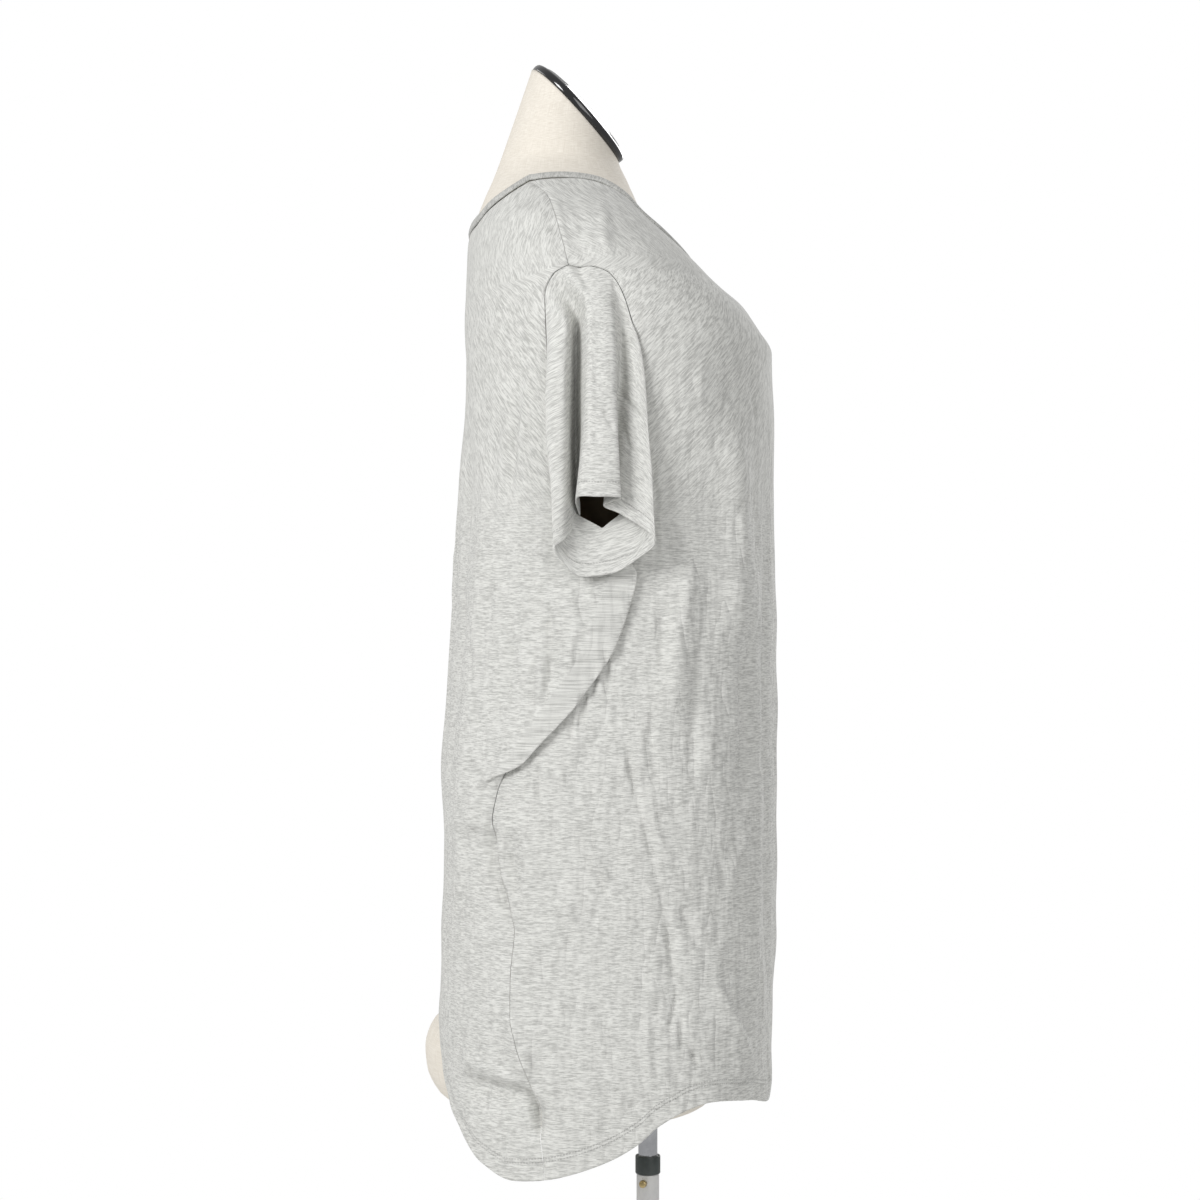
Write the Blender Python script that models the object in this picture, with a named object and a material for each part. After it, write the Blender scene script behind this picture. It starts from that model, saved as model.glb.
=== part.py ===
"""A heather nightshirt on a limbless dress form, in metres.

The wearer faces +X and the wearer's right side faces -Y. The origin is on the
floor under the pole. Heights are Z. A turn goes once round the body: 0 is the
middle of the back, 0.25 the right side, 0.5 the middle of the front.
"""

import bmesh
import bpy
import numpy as np
from mathutils import Matrix, Vector

# Cloth and gaps
WALL = 0.0015
SEAM_GAP = 0.0004
CLEARANCE = 0.0021
FORM_REACH = 0.665
FORM_EASE = 0.006
BAND_WIDTH = 0.012
BAND_WALL = 0.0020
BAND_GAP = 0.0012
FOLD_SPACING = 0.0035

# Grid of the solids: points across a panel and down each stretch of its side
COLUMNS_FRONT = 29
COLUMNS_BACK = 39
COLUMNS_TUCK = 8
TUCK_SHARE = 0.06
ROWS_SHOULDER = 6
ROWS_ARMHOLE = 11
ROWS_SIDE = 14
ROW_WEIGHTS = (0.45, 1.0)
NECK_POINTS = 60
BAND_ROWS = (0.0, 0.5, 1.0)
SLEEVE_ROWS = 8
SLEEVE_AROUND = 40
FORM_AROUND = 32
PLATE_AROUND = 18
BASE_SIDES = 32
TUBE_SIDES = 20

# Stand
POLE_RADIUS = 0.0088
LOWER_TUBE_RADIUS = 0.0104
COLLAR_RADIUS = 0.0115
COLLAR_BOTTOM = 0.4900
COLLAR_TOP = 0.5070
BASE_RADIUS = 0.175
BASE_RIM = 0.006
BASE_CROWN = 0.013
SOCKET_RADIUS = 0.017
SOCKET_TOP = 0.040
SCREW_RADIUS = 0.0034
SCREW_REACH = 0.0085
SCREW_HEIGHT = 0.4835
FIT_GAP = 0.0003

# Neck cap, a plate on the slanted cut of the neck
CAP_HEIGHT = 1.4600
CAP_MIDDLE = -0.0660
CAP_SLOPE = 1.05
CAP_THICK = 0.0085
CAP_DOME = 0.0060

# Flat oval plates where the arms of the form would be
PLATE_X = -0.045
PLATE_HEIGHT = 1.172
PLATE_HALF_WIDE = 0.046
PLATE_HALF_HIGH = 0.100
PLATE_WALL = 0.003
PLATE_GAP = 0.0002

# The dress form: height, back, front, half width, squareness of the back and of the front
FORM = np.array([
    (0.556, -0.172, 0.052, 0.128, 2.0, 2.0),
    (0.572, -0.194, 0.066, 0.148, 2.0, 2.0),
    (0.592, -0.2035, 0.073, 0.157, 2.0, 2.0),
    (0.610, -0.205, 0.076, 0.161, 2.0, 2.0),
    (0.628, -0.200, 0.078, 0.164, 2.0, 2.0),
    (0.646, -0.1850, 0.079, 0.168, 2.1, 2.1),
    (0.665, -0.1815, 0.080, 0.171, 2.2, 2.2),
    (0.740, -0.178, 0.082, 0.172, 2.3, 2.3),
    (0.800, -0.170, 0.082, 0.168, 2.3, 2.3),
    (0.880, -0.152, 0.078, 0.156, 2.3, 2.3),
    (0.950, -0.136, 0.071, 0.143, 2.3, 2.3),
    (1.020, -0.127, 0.067, 0.135, 2.3, 2.3),
    (1.080, -0.133, 0.076, 0.141, 2.3, 2.3),
    (1.150, -0.147, 0.095, 0.153, 2.3, 2.3),
    (1.200, -0.157, 0.106, 0.163, 2.3, 2.3),
    (1.238, -0.1628, 0.1095, 0.171, 2.3, 2.4),
    (1.256, -0.1638, 0.1000, 0.175, 2.2, 2.5),
    (1.275, -0.1642, 0.0848, 0.178, 2.2, 2.6),
    (1.293, -0.1640, 0.0655, 0.180, 2.1, 2.6),
    (1.311, -0.1638, 0.0472, 0.179, 2.0, 2.6),
    (1.330, -0.1633, 0.0292, 0.174, 2.0, 2.6),
    (1.342, -0.1625, 0.0180, 0.168, 2.0, 2.6),
    (1.366, -0.1565, -0.0040, 0.137, 2.0, 2.4),
    (1.386, -0.1490, -0.0125, 0.103, 2.0, 2.1),
    (1.400, -0.1430, -0.0185, 0.080, 2.0, 2.0),
    (1.420, -0.1355, -0.0270, 0.059, 2.0, 2.0),
    (1.440, -0.1285, -0.0290, 0.0560, 2.0, 2.0),
    (1.460, -0.1215, -0.0300, 0.0550, 2.0, 2.0),
    (1.505, -0.1060, -0.0300, 0.0540, 2.0, 2.0),
])

# How deep the middle of the chest dips between the two sides: height, depth
HOLLOW = np.array([(1.050, 0.0), (1.150, 0.006), (1.238, 0.013), (1.300, 0.008), (1.335, 0.006),
                   (1.362, 0.002), (1.376, 0.0)])
HOLLOW_WIDTH = 0.050

# The cloth where it hangs clear of the form, same columns
HANG = np.array([
    (0.500, -0.186, 0.1095, 0.212, 2.9, 2.9),
    (0.649, -0.1888, 0.1115, 0.210, 2.9, 2.9),
    (0.704, -0.1875, 0.1120, 0.208, 2.9, 2.9),
    (0.796, -0.1852, 0.1130, 0.206, 2.8, 2.8),
    (0.870, -0.1845, 0.1132, 0.204, 2.8, 2.8),
    (0.943, -0.1790, 0.1135, 0.202, 2.7, 2.7),
    (1.017, -0.1745, 0.1140, 0.200, 2.7, 2.7),
    (1.091, -0.1715, 0.1140, 0.200, 2.6, 2.6),
    (1.164, -0.1680, 0.1138, 0.204, 2.5, 2.5),
    (1.238, -0.1640, 0.1110, 0.206, 2.4, 2.4),
    (1.275, -0.1600, 0.0700, 0.203, 2.2, 2.6),
    (1.300, -0.1500, 0.0300, 0.1975, 2.1, 2.6),
    (1.320, -0.1400, 0.0000, 0.189, 2.0, 2.6),
    (1.342, -0.1300, -0.030, 0.165, 2.0, 2.6),
    (1.366, -0.1200, -0.050, 0.120, 2.0, 2.6),
    (1.420, -0.1100, -0.060, 0.040, 2.0, 2.0),
])

# Lines on the side of the body: distance forward, height
SHOULDER_SEAM = [(-0.106, 1.386), (-0.089, 1.366), (-0.080, 1.338), (-0.071, 1.301)]
ARMHOLE_FRONT = [(-0.071, 1.301), (-0.052, 1.299), (-0.036, 1.293), (-0.020, 1.262),
                 (-0.010, 1.215), (-0.008, 1.160), (-0.018, 1.100), (-0.042, 1.077)]
ARMHOLE_BACK = [(-0.071, 1.301), (-0.083, 1.293), (-0.090, 1.276), (-0.089, 1.232),
                (-0.086, 1.165), (-0.072, 1.097), (-0.042, 1.077)]
SIDE_SEAM = [(-0.042, 1.077), (-0.031, 1.048), (-0.040, 1.016), (-0.053, 0.978), (-0.080, 0.936),
             (-0.114, 0.886), (-0.131, 0.852), (-0.137, 0.815), (-0.133, 0.781), (-0.124, 0.757),
             (-0.116, 0.738), (-0.118, 0.675), (-0.112, 0.645), (-0.103, 0.610), (-0.094, 0.563),
             (-0.090, 0.529)]
NECKLINE_FRONT = [(-0.106, 1.386), (-0.079, 1.388), (-0.050, 1.3855), (-0.026, 1.374),
                  (-0.005, 1.354), (0.018, 1.335), (0.036, 1.321), (0.0475, 1.3115)]
NECKLINE_BACK = [(-0.106, 1.386), (-0.126, 1.3725), (-0.141, 1.362), (-0.153, 1.351), (-0.1635, 1.3465)]

# How far the back cloth laps over the front below the right arm: height, lap
LAP = np.array([(0.800, 0.0), (0.846, 0.0), (0.885, 0.014), (0.936, 0.022), (1.016, 0.022),
                (1.040, 0.019), (1.060, 0.006), (1.072, 0.0), (1.420, 0.0)])
LAP_LIFTED = 0.006
LAP_LIFT_BELOW = 0.035
LAP_FORMED = 0.013
LAP_FADE_COLUMNS = 3
LAP_SHARE_LEFT = 0.55

# Hem height round the body: turn, height. The sides droop lowest.
HEM = np.array([
    (0.000, 0.648), (0.030, 0.648), (0.044, 0.643), (0.066, 0.618), (0.090, 0.582),
    (0.108, 0.5665), (0.122, 0.552), (0.139, 0.538), (0.168, 0.5275), (0.190, 0.529),
    (0.216, 0.534), (0.2525, 0.546), (0.280, 0.561), (0.297, 0.575), (0.3256, 0.589),
    (0.343, 0.5925), (0.385, 0.587), (0.4226, 0.578), (0.455, 0.590), (0.500, 0.603),
])

# Large folds: side, path as (across, height) pairs, half width, rise (minus is a trough)
# Across is X on the right and left sides, and Y on the front and back.
FOLDS = [
    ("right", [(-0.126, 0.826), (-0.120, 0.790), (-0.112, 0.750)], 0.013, -0.0060),
    ("right", [(-0.119, 0.735), (-0.118, 0.675), (-0.112, 0.645), (-0.103, 0.610)], 0.013, 0.0040),
    ("right", [(-0.165, 0.600), (-0.128, 0.590), (-0.108, 0.585), (-0.099, 0.560)], 0.013, -0.0060),
    ("right", [(0.049, 0.700), (0.088, 0.607)], 0.012, 0.0035),
    ("right", [(0.012, 0.760), (0.018, 0.690), (0.014, 0.655)], 0.012, -0.0035),
    ("right", [(0.030, 1.060), (0.026, 0.980), (0.016, 0.900)], 0.014, 0.0035),
    ("right", [(0.072, 1.180), (0.074, 1.060), (0.072, 0.960)], 0.016, 0.0045),
    ("right", [(0.092, 1.015), (0.088, 0.940), (0.084, 0.840)], 0.013, -0.0055),
    ("right", [(-0.134, 1.190), (-0.142, 1.130), (-0.146, 1.060)], 0.012, -0.0040),
    ("right", [(-0.070, 1.030), (-0.085, 0.980), (-0.102, 0.930)], 0.013, 0.0050),
    ("left", [(-0.110, 0.850), (-0.104, 0.790), (-0.112, 0.720)], 0.013, -0.0050),
    ("left", [(-0.126, 1.190), (-0.132, 1.060), (-0.138, 0.950)], 0.013, 0.0040),
    ("left", [(0.040, 1.070), (0.028, 0.960), (0.020, 0.860)], 0.013, 0.0040),
    ("left", [(0.070, 1.150), (0.072, 1.000), (0.064, 0.860)], 0.013, -0.0045),
    ("left", [(0.010, 0.800), (0.024, 0.700), (0.020, 0.610)], 0.013, -0.0040),
    ("left", [(-0.060, 0.820), (-0.040, 0.700), (-0.052, 0.600)], 0.014, 0.0045),
    ("left", [(-0.160, 0.606), (-0.120, 0.590), (-0.100, 0.555)], 0.013, -0.0055),
    ("front", [(-0.150, 1.100), (-0.142, 0.900), (-0.150, 0.640)], 0.015, 0.0050),
    ("front", [(-0.105, 1.150), (-0.112, 0.900), (-0.104, 0.620)], 0.014, -0.0050),
    ("front", [(-0.045, 1.080), (-0.052, 0.850), (-0.040, 0.620)], 0.018, 0.0030),
    ("front", [(0.030, 1.120), (0.024, 0.900), (0.036, 0.620)], 0.015, -0.0045),
    ("front", [(0.095, 1.160), (0.104, 0.900), (0.092, 0.620)], 0.017, 0.0045),
    ("front", [(0.150, 1.080), (0.142, 0.860), (0.152, 0.640)], 0.013, -0.0045),
    ("front", [(-0.078, 1.300), (-0.012, 1.275), (0.066, 1.296)], 0.016, 0.0030),
    ("back", [(-0.140, 1.180), (-0.146, 0.950), (-0.138, 0.700)], 0.014, 0.0050),
    ("back", [(-0.094, 1.200), (-0.100, 1.000), (-0.090, 0.800)], 0.013, -0.0045),
    ("back", [(-0.035, 1.180), (-0.042, 0.980), (-0.034, 0.780)], 0.016, 0.0035),
    ("back", [(0.030, 1.160), (0.022, 1.000), (0.034, 0.850)], 0.013, -0.0040),
    ("back", [(0.088, 1.200), (0.098, 0.960), (0.086, 0.720)], 0.016, 0.0050),
    ("back", [(0.142, 1.160), (0.136, 0.960), (0.146, 0.700)], 0.013, -0.0045),
]
SIDE_AXES = {"right": (1, -1), "left": (1, 1), "front": (0, 1), "back": (0, -1)}

# The right sleeve, hanging with no arm in it. Each row is one loop of the tube, from the
# seam on the dropped shoulder to the hem. Points go from the back edge of the outer flap
# over its front, down the front ridge, under the arm and up the back ridge: flap back, middle
# and front, front tuck, rise, ridge and low, under, back low, side, ridge, rise and tuck.
SLEEVE = [
    (0.20, [(-0.059, -0.209, 1.262), (-0.047, -0.214, 1.262), (-0.034, -0.212, 1.258),
            (-0.025, -0.206, 1.246), (-0.014, -0.2085, 1.232), (-0.005, -0.212, 1.190),
            (-0.008, -0.2095, 1.116), (-0.041, -0.2065, 1.068), (-0.068, -0.2075, 1.082),
            (-0.085, -0.2105, 1.122), (-0.090, -0.213, 1.200), (-0.080, -0.213, 1.240),
            (-0.069, -0.203, 1.254)]),
    (0.60, [(-0.059, -0.222, 1.180), (-0.046, -0.229, 1.180), (-0.030, -0.226, 1.180),
            (-0.031, -0.210, 1.172), (-0.020, -0.213, 1.160), (-0.001, -0.221, 1.125),
            (-0.009, -0.213, 1.073), (-0.037, -0.211, 1.050), (-0.064, -0.211, 1.054),
            (-0.079, -0.214, 1.076), (-0.086, -0.221, 1.125), (-0.076, -0.219, 1.150),
            (-0.065, -0.203, 1.168)]),
    (1.00, [(-0.0665, -0.228, 1.102), (-0.0465, -0.237, 1.103), (-0.0266, -0.232, 1.102),
            (-0.041, -0.215, 1.096), (-0.025, -0.217, 1.088), (0.002, -0.226, 1.067),
            (-0.0146, -0.2185, 1.050), (-0.034, -0.2155, 1.039), (-0.0608, -0.2155, 1.037),
            (-0.0757, -0.218, 1.048), (-0.083, -0.224, 1.060), (-0.0725, -0.219, 1.069),
            (-0.060, -0.206, 1.085)]),
]
# Where each of those points starts on the armhole: distance forward, height
ARMHOLE_STARTS = [(-0.0735, 1.2995), (-0.054, 1.2985), (-0.037, 1.2930), (-0.0275, 1.2790), (-0.020, 1.2600),
                  (-0.0105, 1.2150), (-0.0115, 1.1230), (-0.042, 1.0780), (-0.0640, 1.0890),
                  (-0.0800, 1.1300), (-0.0885, 1.2300), (-0.0895, 1.2680), (-0.0840, 1.2910)]
SLEEVE_START_INSET = 0.0015
SLEEVE_START_LIFT = 0.0011

COLOURS = {
    "cloth": ((0.60, 0.60, 0.59), 0.95, 0.0),
    "linen": ((0.86, 0.81, 0.74), 0.85, 0.0),
    "black": ((0.012, 0.012, 0.013), 0.25, 0.0),
    "brown": ((0.045, 0.030, 0.014), 0.60, 0.0),
    "chrome": ((0.66, 0.67, 0.69), 0.18, 1.0),
    "painted": ((0.62, 0.62, 0.61), 0.35, 0.0),
    "collar": ((0.040, 0.050, 0.048), 0.45, 0.0),
    "brass": ((0.42, 0.32, 0.15), 0.35, 1.0),
}


def smooth(x, keys, values):
    """Values along a smooth curve through the keys that never swings past them."""
    keys = np.asarray(keys, float)
    values = np.asarray(values, float)
    step = np.diff(keys)
    slope = np.diff(values) / step
    inner = np.zeros(len(slope) - 1)
    same = slope[1:] * slope[:-1] > 0
    inner[same] = 2 * slope[1:][same] * slope[:-1][same] / (slope[1:] + slope[:-1])[same]
    tangent = np.concatenate([[slope[0]], inner, [slope[-1]]])
    x = np.clip(x, keys[0], keys[-1])
    i = np.clip(np.searchsorted(keys, x, side="right") - 1, 0, len(step) - 1)
    t = (x - keys[i]) / step[i]
    return (values[i] * (1 + 2 * t) * (1 - t) ** 2 + tangent[i] * step[i] * t * (1 - t) ** 2
            + values[i + 1] * t * t * (3 - 2 * t) + tangent[i + 1] * step[i] * t * t * (t - 1))


def ease(x, low, high):
    t = np.clip((x - low) / (high - low), 0, 1)
    return t * t * (3 - 2 * t)


def along_path(points, count, weights=(1.0, 1.0)):
    """Points at even steps of weighted length along a smooth open curve through the given ones."""
    points = np.asarray(points, float)
    steps = np.diff(points, axis=0) * np.asarray(weights)
    lengths = np.concatenate([[0], np.cumsum(np.linalg.norm(steps, axis=1))])
    s = np.linspace(0, lengths[-1], count)
    return np.stack([smooth(s, lengths, points[:, k]) for k in range(points.shape[1])], axis=1)


def section_values(table, height):
    return [smooth(height, table[:, 0], table[:, k]) for k in range(1, 6)]


def oval(turn, back, front, half, back_power, front_power):
    angle = 2 * np.pi * np.asarray(turn)
    c, s = np.cos(angle), np.sin(angle)
    power = np.where(c > 0, back_power, front_power)
    reach = (np.abs(c) ** power + np.abs(s) ** power) ** (-1 / power)
    return (back + front) / 2 - (front - back) / 2 * c * reach, -half * s * reach


def larger(a, b, softness=0.0006):
    return (a + b + np.sqrt((a - b) ** 2 + softness ** 2)) / 2


def form_point(turn, height):
    x, y = oval(turn, *section_values(FORM, height))
    dip = smooth(height, HOLLOW[:, 0], HOLLOW[:, 1]) * np.exp(-(y / HOLLOW_WIDTH) ** 2)
    x = x - dip * (np.cos(2 * np.pi * np.asarray(turn)) < 0)
    return np.stack(np.broadcast_arrays(x, y, height), axis=-1)


def cloth_base(turn, height):
    """What the cloth lies on: the form where it reaches the cloth, else the hanging shape."""
    inner = section_values(FORM, np.maximum(height, FORM_REACH))
    outer = section_values(HANG, height)
    back = -larger(-inner[0], -outer[0] - CLEARANCE)
    front = larger(inner[1], outer[1] - CLEARANCE)
    half = larger(inner[2], outer[2] - CLEARANCE)
    x, y = oval(turn, back, front, half, outer[3], outer[4])
    return np.stack(np.broadcast_arrays(x, y, height), axis=-1)


def cloth_normal(turn, height, turn_step=0.0005, height_step=0.0005):
    across = cloth_base(turn + turn_step, height) - cloth_base(turn - turn_step, height)
    upward = cloth_base(turn, height + height_step) - cloth_base(turn, height - height_step)
    normal = np.cross(across, upward)
    return normal / np.linalg.norm(normal, axis=-1, keepdims=True)


def turn_at(x, height, right=True):
    """The turn at which the base cloth passes a distance forward, on one side."""
    low = np.zeros(np.shape(x))
    high = np.full(np.shape(x), 0.5)
    for _ in range(40):
        middle = (low + high) / 2
        short = cloth_base(middle, height)[..., 0] < x
        low = np.where(short, middle, low)
        high = np.where(short, high, middle)
    return low if right else 1 - low


def hem_height(turn):
    turn = np.abs(np.mod(np.asarray(turn) + 0.5, 1) - 0.5)
    return smooth(turn, HEM[:, 0], HEM[:, 1])


def path_distance(across, height, path):
    """Distance to a path, and how near its ends the closest point is, from 0 to 1."""
    path = np.asarray(path, float)
    lengths = np.linalg.norm(np.diff(path, axis=0), axis=1)
    starts = np.concatenate([[0], np.cumsum(lengths)])
    best = np.full(np.shape(across), np.inf)
    place = np.zeros(np.shape(across))
    for i, (start, end) in enumerate(zip(path[:-1], path[1:])):
        run = end - start
        t = ((across - start[0]) * run[0] + (height - start[1]) * run[1]) / (run @ run)
        t = np.clip(t, 0, 1)
        gap = np.hypot(across - start[0] - t * run[0], height - start[1] - t * run[1])
        place = np.where(gap < best, (starts[i] + t * lengths[i]) / starts[-1], place)
        best = np.minimum(gap, best)
    return best, place


def fold_rise(points, normals, folds):
    """How far the large folds move each point out along its normal."""
    rise = np.zeros(points.shape[:-1])
    for side, path, half_width, height in folds:
        axis, sign = SIDE_AXES[side]
        across = points[..., 0] if axis else points[..., 1]
        facing = np.clip(sign * normals[..., axis], 0, 1)
        gap, place = path_distance(across, points[..., 2], path)
        strength = ease(place, -0.02, 0.25) * ease(1 - place, -0.02, 0.25)
        rise += height * strength * ease(facing, 0.25, 0.7) * np.exp(-(gap / half_width) ** 2)
    return rise


def drape(turn, height, lift=0.0):
    base = cloth_base(turn, height)
    normals = cloth_normal(turn, height)
    rise = CLEARANCE + fold_rise(base, normals, FOLDS) + lift
    return base + normals * rise[..., None]


def side_line(armhole, right):
    """One panel's side from the neck to the hem: distance forward and height of each row."""
    side = SIDE_SEAM if right else [(0.75 * x - 0.012, z) for x, z in SIDE_SEAM]
    side = [armhole[-1]] + list(side[1:])
    rows = [along_path(SHOULDER_SEAM, ROWS_SHOULDER + 1)[:-1],
            along_path(armhole, ROWS_ARMHOLE + 1, ROW_WEIGHTS)[:-1],
            along_path(side, ROWS_SIDE + 1, ROW_WEIGHTS)]
    line = np.concatenate(rows)
    foot = turn_at(line[-1, 0], line[-1, 1], right)
    line[-1, 1] = hem_height(foot)
    return line, turn_at(line[:, 0], line[:, 1], right)


def panel_grid(name, share):
    """Turns and heights of a panel's points: rows run from the neck down to the hem.

    The share of each column is its place across the panel, from 0 to 1.
    """
    front = name == "front"
    armhole = ARMHOLE_FRONT if front else ARMHOLE_BACK
    neckline = NECKLINE_FRONT if front else NECKLINE_BACK
    right_line, right_turn = side_line(armhole, True)
    left_line, left_turn = side_line(armhole, False)
    half = along_path(neckline, NECK_POINTS)
    half_turn = turn_at(half[:, 0], half[:, 1])
    half_turn[-1] = 0.5 if front else 0.0
    if front:
        neck_turn = np.concatenate([half_turn, 1 - half_turn[-2::-1]])
        start_turn, end_turn, start_line, end_line = right_turn, left_turn, right_line, left_line
    else:
        neck_turn = np.concatenate([-half_turn, half_turn[-2::-1]])
        start_turn, end_turn, start_line, end_line = left_turn - 1, right_turn, left_line, right_line
    neck_height = np.concatenate([half[:, 1], half[-2::-1, 1]])
    even = np.linspace(0, 1, len(neck_turn))
    neck_turn = np.interp(share, even, neck_turn)
    neck_height = np.interp(share, even, neck_height)
    neck_share = (neck_turn - neck_turn[0]) / (neck_turn[-1] - neck_turn[0])
    start_fall = 1 - (start_line[:, 1] - start_line[-1, 1]) / (start_line[0, 1] - start_line[-1, 1])
    end_fall = 1 - (end_line[:, 1] - end_line[-1, 1]) / (end_line[0, 1] - end_line[-1, 1])
    fall = start_fall[:, None] * (1 - share) + end_fall[:, None] * share
    spread = ease(start_fall, 0, 0.45)[:, None]
    across = (1 - spread) * neck_share + spread * share
    turn = start_turn[:, None] + (end_turn - start_turn)[:, None] * across
    foot = hem_height(turn[-1])
    height = neck_height + (foot - neck_height) * fall
    height[:, 0] = start_line[:, 1]
    height[:, -1] = end_line[:, 1]
    return turn, height


def shift_turn(turn, height, distance):
    """The turn moved round the body by a distance."""
    step = 0.001
    rate = np.linalg.norm(cloth_base(turn + step, height) - cloth_base(turn, height), axis=-1) / step
    return turn + distance / rate


def lap_strip(seam_turn, height, right):
    """Turns and lifts of the back panel's edge, folded under where it laps over the front."""
    lap = smooth(height, LAP[:, 0], LAP[:, 1]) * (1 if right else LAP_SHARE_LEFT)
    above = smooth(height + LAP_LIFT_BELOW, LAP[:, 0], LAP[:, 1])
    lifted = ease(np.maximum(lap, above), 0.0, LAP_LIFTED)[:, None]
    folded = ease(lap, LAP_LIFTED / 2, LAP_FORMED)[:, None]
    radius = FOLD_SPACING / 2
    reach = np.stack([lap * part + move * radius for part, move in
                      ((-0.2, 0), (0.8, -2), (1, -0.6), (1, 0), (1, -0.9), (0.35, 0), (0, 0.8), (0, 0))])
    stage = np.linspace(0, 1, len(reach))
    layer = np.array([2, 2, 1.9, 1.5, 1.05, 1.0, 0.95, 0.75]) * FOLD_SPACING
    k = np.linspace(0, 1, COLUMNS_TUCK + 1)
    along = np.stack([np.interp(k, stage, reach[:, row]) for row in range(len(height))])
    lift = np.interp(k, stage, layer)[None, :] * lifted
    sign = 1 if right else -1
    turn = shift_turn(seam_turn[:, None], height[:, None], sign * along)
    return turn, lift, folded


def front_panel():
    turn, height = panel_grid("front", np.linspace(0, 1, COLUMNS_FRONT))
    for column, sign in ((0, 1), (-1, -1)):
        turn[:, column] = shift_turn(turn[:, column], height[:, column], sign * SEAM_GAP / 2)
    return drape(turn, height), cloth_normal(turn[0], height[0])


def back_shares():
    """Columns close together in the strip on each side that folds under."""
    strip = np.linspace(0, TUCK_SHARE, COLUMNS_TUCK + 1)
    middle = np.linspace(TUCK_SHARE, 1 - TUCK_SHARE, COLUMNS_BACK - 2 * COLUMNS_TUCK)
    return np.concatenate([strip, middle[1:-1], 1 - strip[::-1]])


def back_panel():
    turn, height = panel_grid("back", back_shares())
    lift = np.zeros_like(turn)
    for right in (False, True):
        if right:
            turn, height, lift = turn[:, ::-1], height[:, ::-1], lift[:, ::-1]
        sign = 1 if right else -1
        seam = shift_turn(turn[:, 0], height[:, 0], -sign * SEAM_GAP / 2)
        strip, strip_lift, folded = lap_strip(seam, height[:, 0], right)
        strip, strip_lift = strip[:, ::-1], strip_lift[:, ::-1]
        edge = COLUMNS_TUCK + 1
        middle = COLUMNS_BACK // 2
        open_turn = turn[:, :edge] + (seam - turn[:, 0])[:, None]
        moved = (strip - open_turn) * folded
        turn[:, :edge] = open_turn + moved
        lift[:, :edge] = strip_lift
        share = np.linspace(1, 0, middle - edge + 1)[:-1]
        turn[:, edge:middle] += moved[:, -1:] * share
        for step in range(LAP_FADE_COLUMNS):
            lift[:, edge + step] = strip_lift[:, -1] * (1 - (step + 1) / (LAP_FADE_COLUMNS + 1)) ** 2
        if right:
            turn, height, lift = turn[:, ::-1], height[:, ::-1], lift[:, ::-1]
    return drape(turn, height, lift), cloth_normal(turn[0], height[0])


def closed_curve(points, count):
    """Even steps along a smooth closed curve through points, each shaped (loop, xyz)."""
    points = np.asarray(points, float)
    t = np.linspace(0, len(points), count, endpoint=False)
    i = t.astype(int)
    u = (t - i)[:, None]
    before, here, after, beyond = (points[(i + k) % len(points)] for k in (-1, 0, 1, 2))
    return here + u / 2 * (after - before + u * (2 * before - 5 * here + 4 * after - beyond
                                                  + u * (3 * (here - after) + beyond - before)))


def armhole_line(right):
    """The edge of the armhole as the panels are cut: down the front and back up."""
    rows = slice(ROWS_SHOULDER, ROWS_SHOULDER + ROWS_ARMHOLE + 1)
    down = side_line(ARMHOLE_FRONT, right)[0][rows]
    up = side_line(ARMHOLE_BACK, right)[0][rows][::-1]
    return np.concatenate([down, up[1:]])


def onto_line(points, line):
    """The nearest places on a line of (x, height) points, and which way the line runs there."""
    found = np.empty_like(points)
    heading = np.empty_like(points)
    best = np.full(len(points), np.inf)
    for start, end in zip(line[:-1], line[1:]):
        run = end - start
        t = np.clip((points - start) @ run / (run @ run), 0, 1)
        place = start + t[:, None] * run
        gap = np.linalg.norm(points - place, axis=1)
        near = gap < best
        found[near] = place[near]
        heading[near] = run / np.linalg.norm(run)
        best = np.minimum(best, gap)
    return found, heading


def sleeve_loops():
    starts = closed_curve(ARMHOLE_STARTS, SLEEVE_AROUND)
    starts, heading = onto_line(starts, armhole_line(True))
    inward = np.stack([heading[:, 1], -heading[:, 0]], axis=1)
    starts = starts + inward * SLEEVE_START_INSET
    turn = turn_at(starts[:, 0], starts[:, 1])
    rise = CLEARANCE + SLEEVE_START_LIFT
    first = cloth_base(turn, starts[:, 1]) + cloth_normal(turn, starts[:, 1]) * rise
    places = np.array([0.0] + [place for place, _ in SLEEVE])
    loops = np.stack([first] + [closed_curve(points, SLEEVE_AROUND) for _, points in SLEEVE])
    s = np.linspace(0, 1, SLEEVE_ROWS + 1)
    rows = np.empty((len(s), SLEEVE_AROUND, 3))
    for p in range(SLEEVE_AROUND):
        for k in range(3):
            rows[:, p, k] = smooth(s, places, loops[:, p, k])
    return rows


def mirrored(grid):
    return grid[:, ::-1] * np.array([1, -1, 1])


def neck_seam():
    """The top edge of both panels, once round the neck: turn and height of each point."""
    front_turn, front_height = panel_grid("front", np.linspace(0, 1, COLUMNS_FRONT))
    back_turn, back_height = panel_grid("back", back_shares())
    half_tuck = COLUMNS_TUCK // 2
    inner = range(COLUMNS_TUCK, COLUMNS_BACK - COLUMNS_TUCK)
    columns = [0, half_tuck, *inner, -half_tuck - 1, -1]
    turn = np.concatenate([back_turn[0, columns], front_turn[0, 1:-1]])
    height = np.concatenate([back_height[0, columns], front_height[0, 1:-1]])
    return turn, height


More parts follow.
